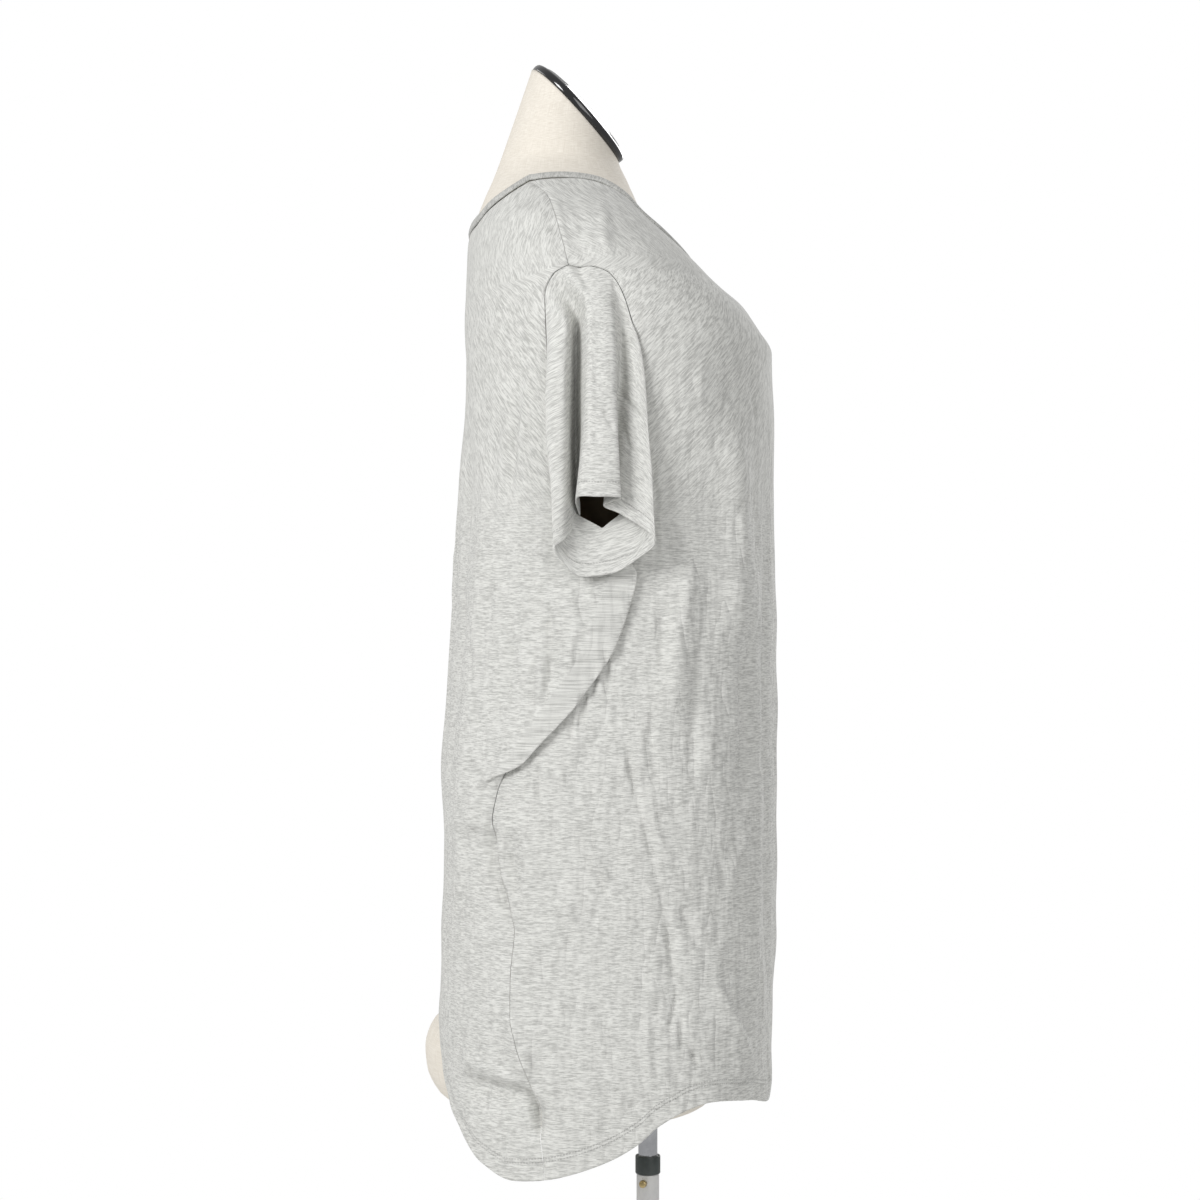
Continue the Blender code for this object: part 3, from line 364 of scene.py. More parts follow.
# Smaller creases on the right: path as (forward, height) pairs, half width, rise
CREASES = [
    ([(-0.133, 0.833), (-0.139, 0.808), (-0.134, 0.778),
      (-0.125, 0.756), (-0.115, 0.738)], 0.0043, -0.0050),
    ([(-0.107, 0.838), (-0.106, 0.797), (-0.108, 0.738)], 0.0068, 0.0035),
    ([(-0.123, 0.805), (-0.119, 0.763)], 0.0059, -0.0030),
    ([(-0.118, 0.673), (-0.113, 0.644), (-0.107, 0.625), (-0.103, 0.609)], 0.0051, 0.0030),
    ([(-0.108, 0.608), (-0.100, 0.592), (-0.094, 0.563)], 0.0034, -0.0040),
    ([(-0.167, 0.611), (-0.162, 0.605), (-0.124, 0.602),
      (-0.110, 0.598), (-0.099, 0.588), (-0.094, 0.563)], 0.0078, -0.0050),
    ([(-0.167, 0.626), (-0.124, 0.614), (-0.107, 0.609)], 0.0069, 0.0025),
    ([(-0.062, 0.812), (-0.047, 0.789), (-0.034, 0.760)], 0.0021, -0.0013),
    ([(-0.057, 0.815), (-0.042, 0.791), (-0.029, 0.763)], 0.0025, 0.0010),
    ([(-0.077, 0.754), (-0.073, 0.735)], 0.0021, -0.0016),
    ([(-0.073, 0.763), (-0.057, 0.724)], 0.0025, 0.0013),
    ([(-0.006, 0.838), (-0.000, 0.806), (0.009, 0.797)], 0.0025, -0.0016),
    ([(-0.000, 0.842), (0.007, 0.808)], 0.0025, 0.0011),
    ([(0.013, 0.746), (0.018, 0.688)], 0.0025, -0.0016),
    ([(0.022, 0.685), (0.013, 0.649)], 0.0025, -0.0020),
    ([(0.024, 0.670), (0.025, 0.634)], 0.0025, -0.0020),
    ([(0.050, 0.697), (0.071, 0.650), (0.093, 0.602)], 0.0034, 0.0018),
    ([(0.056, 0.698), (0.078, 0.652), (0.097, 0.610)], 0.0034, -0.0012),
    ([(0.033, 0.637), (0.039, 0.622)], 0.0025, -0.0022),
    ([(0.024, 0.762), (0.032, 0.730)], 0.0025, -0.0013),
    ([(0.055, 0.804), (0.062, 0.764)], 0.0025, -0.0014),
    ([(-0.016, 0.600), (-0.016, 0.584)], 0.0021, -0.0014),
    ([(-0.032, 0.607), (-0.026, 0.600)], 0.0021, -0.0014),
    ([(-0.036, 0.950), (-0.020, 0.882), (-0.005, 0.819),
      (0.007, 0.772), (0.017, 0.714), (0.023, 0.656)], 0.0022, -0.0011),
    ([(-0.031, 0.951), (-0.015, 0.884), (-0.000, 0.821), (0.012, 0.773)], 0.0025, 0.0009),
    ([(-0.005, 0.878), (0.002, 0.825), (0.018, 0.788)], 0.0025, 0.0012),
    ([(0.052, 0.932), (0.049, 0.898), (0.046, 0.860)], 0.0043, 0.0016),
    ([(0.078, 0.970), (0.078, 0.914)], 0.0030, -0.0018),
    ([(-0.087, 0.950), (-0.090, 0.908)], 0.0025, -0.0018),
    ([(-0.148, 0.944), (-0.145, 0.901)], 0.0026, -0.0014),
    ([(-0.096, 0.874), (-0.093, 0.842)], 0.0025, -0.0018),
    ([(-0.082, 0.893), (-0.072, 0.851), (-0.051, 0.801)], 0.0025, 0.0011),
    ([(-0.047, 0.975), (-0.051, 0.933)], 0.0025, -0.0022),
    ([(-0.039, 0.983), (-0.037, 0.933)], 0.0025, -0.0020),
    ([(-0.057, 0.941), (-0.061, 0.906)], 0.0025, -0.0020),
    ([(-0.068, 0.919), (-0.069, 0.889)], 0.0025, -0.0016),
    ([(-0.019, 0.725), (0.012, 0.711)], 0.0025, 0.0011),
    ([(-0.137, 1.190), (-0.143, 1.165), (-0.145, 1.142)], 0.0026, -0.0022),
    ([(-0.114, 1.188), (-0.117, 1.145), (-0.121, 1.103)], 0.0034, -0.0018),
    ([(-0.125, 1.171), (-0.130, 1.086)], 0.0043, 0.0016),
    ([(-0.155, 1.087), (-0.159, 0.982)], 0.0026, -0.0013),
    ([(-0.142, 1.052), (-0.144, 0.931)], 0.0030, -0.0015),
    ([(-0.130, 1.068), (-0.132, 0.966)], 0.0034, 0.0014),
    ([(-0.119, 1.017), (-0.121, 0.915)], 0.0030, -0.0015),
    ([(-0.105, 1.051), (-0.109, 0.941)], 0.0042, 0.0018),
    ([(-0.097, 0.983), (-0.100, 0.882)], 0.0030, -0.0018),
    ([(-0.085, 1.017), (-0.086, 0.949)], 0.0034, -0.0018),
    ([(-0.095, 1.025), (-0.081, 0.983), (-0.085, 0.932)], 0.0059, -0.0030),
    ([(-0.069, 1.030), (-0.063, 0.996), (-0.073, 0.949)], 0.0059, 0.0025),
    ([(0.069, 1.188), (0.071, 1.086), (0.067, 0.970)], 0.0120, 0.0035),
    ([(0.085, 1.014), (0.084, 0.931), (0.080, 0.845)], 0.0078, -0.0050),
    ([(0.042, 0.792), (0.041, 0.750)], 0.0025, -0.0012),
    ([(0.029, 0.645), (0.037, 0.629)], 0.0025, -0.0018),
    ([(-0.003, 0.672), (-0.003, 0.604)], 0.0034, 0.0012),
    ([(-0.061, 0.730), (-0.056, 0.683), (-0.030, 0.605)], 0.0034, 0.0010),
    ([(0.078, 0.722), (0.093, 0.658)], 0.0034, 0.0014),
    ([(0.032, 1.051), (0.020, 0.983), (0.013, 0.916)], 0.0085, 0.0025),
    ([(0.010, 1.017), (0.007, 0.949)], 0.0042, -0.0020),
    ([(0.041, 1.000), (0.036, 0.932), (0.032, 0.856)], 0.0051, -0.0020),
    ([(-0.023, 0.933), (-0.017, 0.882), (-0.015, 0.849)], 0.0034, -0.0014),
    ([(0.002, 0.933), (-0.002, 0.895), (0.004, 0.857)], 0.0034, -0.0018),
    ([(-0.072, 1.375), (-0.066, 1.337), (-0.063, 1.303), (-0.061, 1.270)], 0.0070, -0.0045),
    ([(-0.044, 1.371), (-0.041, 1.328), (-0.039, 1.303)], 0.0061, 0.0020),
    ([(-0.089, 1.358), (-0.081, 1.328), (-0.075, 1.303)], 0.0043, -0.0015),
    ([(-0.095, 1.263), (-0.112, 1.192), (-0.117, 1.154)], 0.0051, -0.0018),
    ([(-0.133, 1.285), (-0.130, 1.224)], 0.0052, 0.0013),
    ([(-0.104, 1.272), (-0.105, 1.204), (-0.110, 1.136)], 0.0043, 0.0018),
]

# The right sleeve, hanging with no arm in it. Each row is one loop of the tube, from the
# seam on the dropped shoulder to the hem. Points go from the back edge of the outer flap
# over its front, down the front ridge, under the arm and up the back ridge: flap back, middle
# and front, front tuck, rise, ridge and low, under, back low, side, ridge, rise and tuck.
SLEEVE = [
    (0.20, [(-0.0550, -0.211, 1.262), (-0.047, -0.214, 1.262), (-0.034, -0.212, 1.258),
            (-0.026, -0.201, 1.246), (-0.014, -0.2085, 1.232), (-0.005, -0.212, 1.190),
            (-0.008, -0.2095, 1.116), (-0.041, -0.2065, 1.068), (-0.068, -0.2075, 1.082),
            (-0.085, -0.2105, 1.122), (-0.090, -0.213, 1.200), (-0.0730, -0.214, 1.240),
            (-0.0640, -0.189, 1.254)]),
    (0.60, [(-0.0560, -0.224, 1.180), (-0.046, -0.229, 1.180), (-0.030, -0.226, 1.180),
            (-0.030, -0.203, 1.172), (-0.020, -0.213, 1.160), (-0.001, -0.221, 1.125),
            (-0.009, -0.213, 1.073), (-0.037, -0.211, 1.050), (-0.064, -0.211, 1.054),
            (-0.079, -0.214, 1.076), (-0.086, -0.221, 1.125), (-0.0730, -0.221, 1.150),
            (-0.0645, -0.188, 1.168)]),
    (1.00, [(-0.0640, -0.229, 1.102), (-0.0465, -0.237, 1.103), (-0.0266, -0.232, 1.102),
            (-0.041, -0.215, 1.096), (-0.025, -0.217, 1.088), (0.002, -0.226, 1.067),
            (-0.0146, -0.2185, 1.050), (-0.034, -0.2155, 1.039), (-0.0608, -0.2155, 1.037),
            (-0.0757, -0.218, 1.048), (-0.083, -0.224, 1.060), (-0.0720, -0.220, 1.069),
            (-0.0620, -0.194, 1.086)]),
]
# Where each of those points starts on the armhole: distance forward, height
ARMHOLE_STARTS = [(-0.0735, 1.2995), (-0.054, 1.2985), (-0.037, 1.2930), (-0.0275, 1.2790),
                  (-0.020, 1.2600), (-0.0105, 1.2150), (-0.0115, 1.1230), (-0.042, 1.0780),
                  (-0.0640, 1.0890), (-0.0800, 1.1300), (-0.0885, 1.2300), (-0.0895, 1.2680),
                  (-0.0840, 1.2910)]

# Creases of the right sleeve's outer side: path as (forward, height) pairs, half width, rise
SLEEVE_CREASES = [
    ([(-0.033, 1.2555), (-0.012, 1.2345)], 0.0040, 0.0012),
    ([(-0.0315, 1.196), (-0.005, 1.163)], 0.0026, -0.0025),
    ([(-0.0515, 1.2055), (-0.035, 1.1905)], 0.0024, -0.0010),
    ([(-0.042, 1.176), (-0.0315, 1.157)], 0.0024, -0.0018),
    ([(-0.057, 1.122), (-0.041, 1.1295), (-0.0315, 1.127)], 0.0024, -0.0015),
    ([(-0.050, 1.144), (-0.0315, 1.136)], 0.0024, -0.0012),
    ([(-0.029, 1.172), (-0.018, 1.139)], 0.0026, -0.0015),
]

# The neck binding's section: up from the neck seam, out from the surface it lies on
BAND_PROFILE = [(0.0008, 0.0012), (0.0012, 0.0028), (0.0030, 0.0036), (0.0060, 0.0038),
                (0.0090, 0.0036), (0.0112, 0.0030), (0.0120, 0.0020), (0.0112, 0.0010),
                (0.0060, 0.0007), (0.0020, 0.0007)]

# The neck of the form above the cloth: height and how far its rings lean forward, from 0 to 1
LEANING = np.array([(NECK_FOOT, 0.0), (1.398, 0.10), (1.411, 0.30), (1.428, 0.60), (1.444, 0.82),
                    (CAP_HEIGHT, 1.0)])


def smooth(x, keys, values):
    """Values along a smooth curve through the keys that never swings past them."""
    keys = np.asarray(keys, float)
    values = np.asarray(values, float)
    step = np.diff(keys)
    slope = np.diff(values) / step
    inner = np.zeros(len(slope) - 1)
    same = slope[1:] * slope[:-1] > 0
    inner[same] = 2 * slope[1:][same] * slope[:-1][same] / (slope[1:] + slope[:-1])[same]
    tangent = np.concatenate([[slope[0]], inner, [slope[-1]]])
    x = np.clip(x, keys[0], keys[-1])
    i = np.clip(np.searchsorted(keys, x, side="right") - 1, 0, len(step) - 1)
    t = (x - keys[i]) / step[i]
    return (values[i] * (1 + 2 * t) * (1 - t) ** 2 + tangent[i] * step[i] * t * (1 - t) ** 2
            + values[i + 1] * t * t * (3 - 2 * t) + tangent[i + 1] * step[i] * t * t * (t - 1))


def ease(x, low, high):
    """A smooth step from 0 at low to 1 at high."""
    t = np.clip((x - low) / (high - low), 0, 1)
    return t * t * (3 - 2 * t)


def along_path(points, count, weights=(1.0, 1.0)):
    """Points at even steps of weighted length along a smooth open curve through the given ones."""
    points = np.asarray(points, float)
    steps = np.diff(points, axis=0) * np.asarray(weights)
    lengths = np.concatenate([[0], np.cumsum(np.linalg.norm(steps, axis=1))])
    s = np.linspace(0, lengths[-1], count)
    return np.stack([smooth(s, lengths, points[:, k]) for k in range(points.shape[1])], axis=1)


def section_values(table, height):
    """The five values of a table of sections at a height."""
    return [smooth(height, table[:, 0], table[:, k]) for k in range(1, 6)]


def oval(turn, back, front, half, back_power, front_power):
    """A section's point at a turn: how far forward and how far to the left."""
    angle = 2 * np.pi * np.asarray(turn)
    c, s = np.cos(angle), np.sin(angle)
    power = np.where(c > 0, back_power, front_power)
    reach = (np.abs(c) ** power + np.abs(s) ** power) ** (-1 / power)
    return (back + front) / 2 - (front - back) / 2 * c * reach, -half * s * reach


def larger(a, b):
    """The larger of two values, with a soft change from one to the other."""
    return (a + b + np.sqrt((a - b) ** 2 + MEETING_SOFTNESS ** 2)) / 2


def form_point(turn, height):
    """A point of the form's skin."""
    x, y = oval(turn, *section_values(FORM, height))
    dip = smooth(height, HOLLOW[:, 0], HOLLOW[:, 1]) * np.exp(-(y / HOLLOW_WIDTH) ** 2)
    x = x - dip * (np.cos(2 * np.pi * np.asarray(turn)) < 0)
    return np.stack(np.broadcast_arrays(x, y, height), axis=-1)


def cloth_base(turn, height):
    """What the cloth lies on: the form where it reaches the cloth, else the hanging shape."""
    inner = section_values(FORM, np.maximum(height, FORM_REACH))
    outer = section_values(HANG, height)
    back = -larger(-inner[0], -outer[0] - CLEARANCE)
    front = larger(inner[1], outer[1] - CLEARANCE)
    half = larger(inner[2], outer[2] - CLEARANCE)
    x, y = oval(turn, back, front, half, outer[3], outer[4])
    return np.stack(np.broadcast_arrays(x, y, height), axis=-1)


def cloth_normal(turn, height, step=0.0005):
    """The way out from the body, square to what the cloth lies on."""
    across = cloth_base(turn + step, height) - cloth_base(turn - step, height)
    upward = cloth_base(turn, height + step) - cloth_base(turn, height - step)
    normal = np.cross(across, upward)
    return normal / np.linalg.norm(normal, axis=-1, keepdims=True)


def turn_at(x, height, right=True):
    """The turn at which the base cloth passes a distance forward, on one side."""
    low = np.zeros(np.shape(x))
    high = np.full(np.shape(x), 0.5)
    for _ in range(TURN_HALVINGS):
        middle = (low + high) / 2
        short = cloth_base(middle, height)[..., 0] < x
        low = np.where(short, middle, low)
        high = np.where(short, high, middle)
    return low if right else 1 - low


def hem_height(turn):
    """The hem's height, the same on both sides of the body."""
    turn = np.abs(np.mod(np.asarray(turn) + 0.5, 1) - 0.5)
    return smooth(turn, HEM[:, 0], HEM[:, 1])


def path_distance(across, height, path):
    """Distance to a path, and how near its ends the closest point is, from 0 to 1."""
    path = np.asarray(path, float)
    lengths = np.linalg.norm(np.diff(path, axis=0), axis=1)
    starts = np.concatenate([[0], np.cumsum(lengths)])
    best = np.full(np.shape(across), np.inf)
    place = np.zeros(np.shape(across))
    for i, (start, end) in enumerate(zip(path[:-1], path[1:])):
        run = end - start
        t = ((across - start[0]) * run[0] + (height - start[1]) * run[1]) / (run @ run)
        t = np.clip(t, 0, 1)
        gap = np.hypot(across - start[0] - t * run[0], height - start[1] - t * run[1])
        place = np.where(gap < best, (starts[i] + t * lengths[i]) / starts[-1], place)
        best = np.minimum(gap, best)
    return best, place


def path_rise(across, height, path, half_width, rise):
    """How far one crease moves each point, fading out at both its ends."""
    gap, place = path_distance(across, height, path)
    strength = ease(place, *END_FADE) * ease(1 - place, *END_FADE)
    return rise * strength * np.exp(-(gap / half_width) ** 2)


def fold_rise(points, normals, folds):
    """How far the folds move each point out along its normal."""
    rise = np.zeros(points.shape[:-1])
    for side, path, half_width, height in folds:
        axis, sign = SIDE_AXES[side]
        across = points[..., 0] if axis else points[..., 1]
        facing = ease(sign * normals[..., axis], *FACING)
        rise += facing * path_rise(across, points[..., 2], path, half_width, height)
    return rise


def side_line(armhole, right):
    """One panel's side from the neck to the hem: distance forward and height of each row."""
    side = SIDE_SEAM
    if not right:
        side = [(LEFT_SEAM_SHARE * x - LEFT_SEAM_BACK, z) for x, z in SIDE_SEAM]
    side = [armhole[-1]] + list(side[1:])
    rows = [along_path(SHOULDER_SEAM, ROWS_SHOULDER + 1)[:-1],
            along_path(armhole, ROWS_ARMHOLE + 1, ROW_WEIGHTS)[:-1],
            along_path(side, ROWS_SIDE + 1, ROW_WEIGHTS)]
    line = np.concatenate(rows)
    foot = turn_at(line[-1, 0], line[-1, 1], right)
    line[-1, 1] = hem_height(foot)
    return line, turn_at(line[:, 0], line[:, 1], right)


def panel_grid(name, share):
    """Turns and heights of a panel's points: rows run from the neck down to the hem.

    The share of each column is its place across the panel, from 0 to 1.
    """
    front = name == "front"
    armhole = ARMHOLE_FRONT if front else ARMHOLE_BACK
    neckline = NECKLINE_FRONT if front else NECKLINE_BACK
    right_line, right_turn = side_line(armhole, True)
    left_line, left_turn = side_line(armhole, False)
    half = along_path(neckline, NECK_POINTS)
    half_turn = turn_at(half[:, 0], half[:, 1])
    half_turn[-1] = 0.5 if front else 0.0
    if front:
        neck_turn = np.concatenate([half_turn, 1 - half_turn[-2::-1]])
        start_turn, start_line = right_turn, right_line
        end_turn, end_line = left_turn, left_line
    else:
        neck_turn = np.concatenate([-half_turn, half_turn[-2::-1]])
        start_turn, start_line = left_turn - 1, left_line
        end_turn, end_line = right_turn, right_line
    neck_height = np.concatenate([half[:, 1], half[-2::-1, 1]])
    even = np.linspace(0, 1, len(neck_turn))
    neck_turn = np.interp(share, even, neck_turn)
    neck_height = np.interp(share, even, neck_height)
    neck_share = (neck_turn - neck_turn[0]) / (neck_turn[-1] - neck_turn[0])
    start_fall, end_fall = [1 - (line[:, 1] - line[-1, 1]) / (line[0, 1] - line[-1, 1])
                            for line in (start_line, end_line)]
    fall = start_fall[:, None] * (1 - share) + end_fall[:, None] * share
    spread = ease(start_fall, 0, SPREAD_END)[:, None]
    across = (1 - spread) * neck_share + spread * share
    turn = start_turn[:, None] + (end_turn - start_turn)[:, None] * across
    foot = hem_height(turn[-1])
    height = neck_height + (foot - neck_height) * fall
    height[:, 0] = start_line[:, 1]
    height[:, -1] = end_line[:, 1]
    return turn, height


def shift_turn(turn, height, distance):
    """The turn moved round the body by a distance."""
    step = 0.001
    rate = np.linalg.norm(cloth_base(turn + step, height) - cloth_base(turn, height), axis=-1) / step
    return turn + distance / rate


def lap_strip(seam_turn, height, right):
    """Turns and lifts of the back panel's edge, folded under where it laps over the front."""
    lap = smooth(height, LAP[:, 0], LAP[:, 1]) * (1 if right else LAP_SHARE_LEFT)
    above = smooth(height + LAP_LIFT_BELOW, LAP[:, 0], LAP[:, 1])
    lifted = ease(np.maximum(lap, above), 0.0, LAP_LIFTED)[:, None]
    folded = ease(lap, LAP_LIFTED / 2, LAP_FORMED)[:, None]
    radius = FOLD_SPACING / 2
    reach = np.stack([lap * part + move * radius for part, move, _ in LAP_STEPS])
    stage = np.linspace(0, 1, len(reach))
    layer = LAP_STEPS[:, 2] * FOLD_SPACING
    k = np.linspace(0, 1, COLUMNS_TUCK + 1)
    along = np.stack([smooth(k, stage, reach[:, row]) for row in range(len(height))])
    lift = smooth(k, stage, layer)[None, :] * lifted
    sign = 1 if right else -1
    turn = shift_turn(seam_turn[:, None], height[:, None], sign * along)
    return turn, lift, folded


def wrinkles():
    """Seeded small wrinkles for every side, as rows like those of the folds."""
    random = np.random.default_rng(SEED)
    rows = []
    for side, low, high in WRINKLE_SIDES:
        for _ in range(WRINKLES_A_SIDE):
            across = random.uniform(low, high)
            height = random.uniform(*WRINKLE_HEIGHTS)
            length = random.uniform(*WRINKLE_LENGTHS)
            lean = random.uniform(-WRINKLE_LEAN, WRINKLE_LEAN)
            bend = random.uniform(-WRINKLE_BEND, WRINKLE_BEND) * length
            half_width = random.uniform(*WRINKLE_WIDTHS)
            rise = random.uniform(*WRINKLE_RISES) * (1 if random.random() < RIDGE_SHARE else -1)
            path = [(across + lean * part * length + bend * (1 - 4 * part ** 2),
                     height + part * length) for part in (-0.5, 0.0, 0.5)]
            rows.append((side, path, half_width, rise))
    return rows


def both_sides():
    """The listed creases on the wearer's right, and once more on the left, moved a little."""
    rows = [("right", *row) for row in CREASES]
    for path, half_width, rise in CREASES:
        path = [(LEFT_SHARE * x + LEFT_FORWARD, z + LEFT_UP) for x, z in path]
        rows.append(("left", path, half_width, rise))
    return rows


def waves(points):
    """A gentle unevenness of the cloth in every place."""
    random = np.random.default_rng(SEED + 1)
    total = np.zeros(points.shape[:-1])
    for _ in range(WAVE_COUNT):
        way = random.normal(size=3)
        way /= np.linalg.norm(way)
        length = random.uniform(*WAVE_LENGTHS)
        start = random.uniform(0, 2 * np.pi)
        total += WAVE_RISE * np.sin(2 * np.pi * (points @ way) / length + start)
    return total


def crease_rise(points, normals, rows):
    """fold_rise for many small creases, each worked out on the points near it alone."""
    rise = np.zeros(points.shape[:-1])
    for row in rows:
        side, path, half_width, _ = row
        axis, sign = SIDE_AXES[side]
        across = points[..., 0] if axis else points[..., 1]
        low = np.min(path, axis=0) - CREASE_REACH * half_width
        high = np.max(path, axis=0) + CREASE_REACH * half_width
        near = ((across > low[0]) & (across < high[0]) & (points[..., 2] > low[1])
                & (points[..., 2] < high[1]) & (sign * normals[..., axis] > FACING[0]))
        if near.any():
            rise[near] += fold_rise(points[near], normals[near], [row])
    return rise


def drape(turn, height, lift, edge_gap):
    """Points of the cloth, with a dip along the seamed edges that edge_gap gives the distance to."""
    base = cloth_base(turn, height)
    normals = cloth_normal(turn, height)
    room = np.linalg.norm(base - form_point(turn, np.maximum(height, FORM[0, 0])), axis=-1)
    rise = CLEARANCE + fold_rise(base, normals, FOLDS)
    rise += CREASE_BOOST * crease_rise(base, normals, both_sides())
    rise += crease_rise(base, normals, wrinkles())
    rise += waves(base)
    rise -= SEAM_DIP * np.exp(-(edge_gap / SEAM_DIP_WIDTH) ** 2)
    rise = np.maximum(rise, LEAST_GAP - room) + lift
    return base + normals * rise[..., None]


def relaxed(start, normals):
    """The grid with its upper rows evened out, where the neck and the armholes crowd them.

    No point moves inwards, so the cloth stays outside the form.
    """
    grid = start.copy()
    last = RELAXED_ROWS
    part = np.arange(1, last) / last
    hold = (RELAX_STRENGTH * (1 - ease(part, RELAX_FADE, 1.0)))[:, None, None]
    edge = RELAX_EDGE
    for _ in range(RELAX_PASSES):
        inner = grid[1:last, edge:-edge]
        mean = (grid[:last - 1, edge:-edge] + grid[2:last + 1, edge:-edge]
                + grid[1:last, edge - 1:-edge - 1] + grid[1:last, edge + 1:-edge + 1]) / 4
        grid[1:last, edge:-edge] = inner + hold * (mean - inner)
    inward = np.minimum(np.sum((grid - start) * normals, axis=-1), 0.0)
    return grid - normals * inward[..., None]


def row_lengths(grid):
    """How far each point is along its row, from the row's first point."""
    steps = np.linalg.norm(np.diff(grid, axis=1), axis=-1)
    return np.concatenate([np.zeros((len(grid), 1)), np.cumsum(steps, axis=1)], axis=1)


def foot_lengths(grid):
    """How far each point is above the foot of its column, along the cloth."""
    return row_lengths(grid[::-1].transpose(1, 0, 2)).T[::-1]


def edge_distance(base):
    """The distance of each point from the nearest of its panel's two sides and its top."""
    along = row_lengths(base)
    down = foot_lengths(base)
    return np.minimum(np.minimum(along, along[:, -1:] - along), down[0] - down)


def cut_maps(base, turn, height, middle):
    """Where each point lies on the cut cloth, in metres: along its courses, and along the bias."""
    along = row_lengths(base)
    along = along - along[:, middle:middle + 1]
    levels = np.linspace(*CUT_HEIGHTS, CUT_STEPS)
    profile = cloth_base(np.full(len(levels), turn[-1, middle]), levels)
    climb = np.concatenate([[0], np.cumsum(np.linalg.norm(np.diff(profile, axis=0), axis=1))])
    rise = np.interp(height, levels, climb)
    forward = -np.abs(along) + CUT_HALVES_APART * (along > 0)
    course = np.stack([along, rise], axis=-1)
    bias = np.stack([forward + rise, rise - forward], axis=-1) / np.sqrt(2)
    return {"course": course, "bias": bias}


def front_panel():
    """Points of the front and its maps. Its columns crowd at both side seams."""
    right = np.linspace(0, 0.5, COLUMNS_RIGHT)[2:]
    left = np.linspace(0.5, 1, COLUMNS_LEFT)[1:-2]
    share = np.concatenate([NEAR_SEAM, right, left, 1 - np.array(NEAR_SEAM)[::-1]])
    turn, height = panel_grid("front", share)
    for column, sign in ((0, 1), (-1, -1)):
        turn[:, column] = shift_turn(turn[:, column], height[:, column], sign * SEAM_GAP / 2)
    base = cloth_base(turn, height)
    maps = cut_maps(base, turn, height, int(np.argmin(np.abs(share - 0.5))))
    grid = drape(turn, height, np.zeros_like(turn), edge_distance(base))
    return relaxed(grid, cloth_normal(turn, height)), maps


def back_shares():
    """Columns of the back panel, close together in the strip on each side that folds under."""
    strip = np.linspace(0, TUCK_SHARE, COLUMNS_TUCK + 1)
    left = np.linspace(TUCK_SHARE, 0.5, COLUMNS_LEFT - COLUMNS_TUCK)[1:]
    right = np.linspace(0.5, 1 - TUCK_SHARE, COLUMNS_RIGHT - COLUMNS_TUCK)[1:-1]
    return np.concatenate([strip, left, right, 1 - strip[::-1]])


def lay_lap(turn, height, lift, share, right):
    """Moves and lifts the columns next to one side seam, the first ones, into the lap."""
    sign = 1 if right else -1
    seam = shift_turn(turn[:, 0], height[:, 0], -sign * SEAM_GAP / 2)
    strip, strip_lift, folded = lap_strip(seam, height[:, 0], right)
    strip, strip_lift = strip[:, ::-1], strip_lift[:, ::-1]
    edge = COLUMNS_TUCK + 1
    middle = int(np.searchsorted(share, 0.5))
    open_turn = turn[:, :edge] + (seam - turn[:, 0])[:, None]
    moved = (strip - open_turn) * folded
    turn[:, :edge] = open_turn + moved
    lift[:, :edge] = strip_lift
    inward = (share[edge:middle] - TUCK_SHARE) / (0.5 - TUCK_SHARE)
    turn[:, edge:middle] += moved[:, -1:] * (1 - inward)
    fade = np.clip(1 - (share[edge:middle] - TUCK_SHARE) / LAP_FADE, 0, 1) ** 2
    lift[:, edge:middle] = strip_lift[:, -1:] * fade


def back_panel():
    """Points of the back and its maps, with its edges folded under where it laps over the front."""
    share = back_shares()
    turn, height = panel_grid("back", share)
    lift = np.zeros_like(turn)
    plain = cloth_base(turn, height)
    lay_lap(turn, height, lift, share, False)
    lay_lap(turn[:, ::-1], height[:, ::-1], lift[:, ::-1], 1 - share[::-1], True)
    maps = cut_maps(plain, turn, height, int(np.argmin(np.abs(share - 0.5))))
    grid = drape(turn, height, lift, edge_distance(plain))
    return relaxed(grid, cloth_normal(turn, height)), maps


def closed_curve(points, count):
    """Even steps along a smooth closed curve through points, each shaped (loop, xyz)."""
    points = np.asarray(points, float)
    t = np.linspace(0, len(points), count, endpoint=False)
    i = t.astype(int)
    u = (t - i)[:, None]
    before, here, after, beyond = (points[(i + k) % len(points)] for k in (-1, 0, 1, 2))
    return here + u / 2 * (after - before + u * (2 * before - 5 * here + 4 * after - beyond
                                                  + u * (3 * (here - after) + beyond - before)))


def armhole_line(right):
    """The edge of the armhole as the panels are cut: down the front and back up."""
    rows = slice(ROWS_SHOULDER, ROWS_SHOULDER + ROWS_ARMHOLE + 1)
    down = side_line(ARMHOLE_FRONT, right)[0][rows]
    up = side_line(ARMHOLE_BACK, right)[0][rows][::-1]
    return np.concatenate([down, up[1:]])


def onto_line(points, line):
    """The nearest places on a line of (x, height) points, and which way the line runs there."""
    found = np.empty_like(points)
    heading = np.empty_like(points)
    best = np.full(len(points), np.inf)
    for start, end in zip(line[:-1], line[1:]):
        run = end - start
        t = np.clip((points - start) @ run / (run @ run), 0, 1)
        place = start + t[:, None] * run
        gap = np.linalg.norm(points - place, axis=1)
        near = gap < best
        found[near] = place[near]
        heading[near] = run / np.linalg.norm(run)
        best = np.minimum(best, gap)
    return found, heading


def slanted_ring(turn, height, tilt):
    """The form's ring in a plane that leans forward by tilt times the cap's slope."""
    level = np.full(len(turn), height)
    for _ in range(RING_PASSES):
        x = form_point(turn, level)[:, 0]
        level = height - tilt * CAP_SLOPE * (x - CAP_MIDDLE)
    return form_point(turn, level)


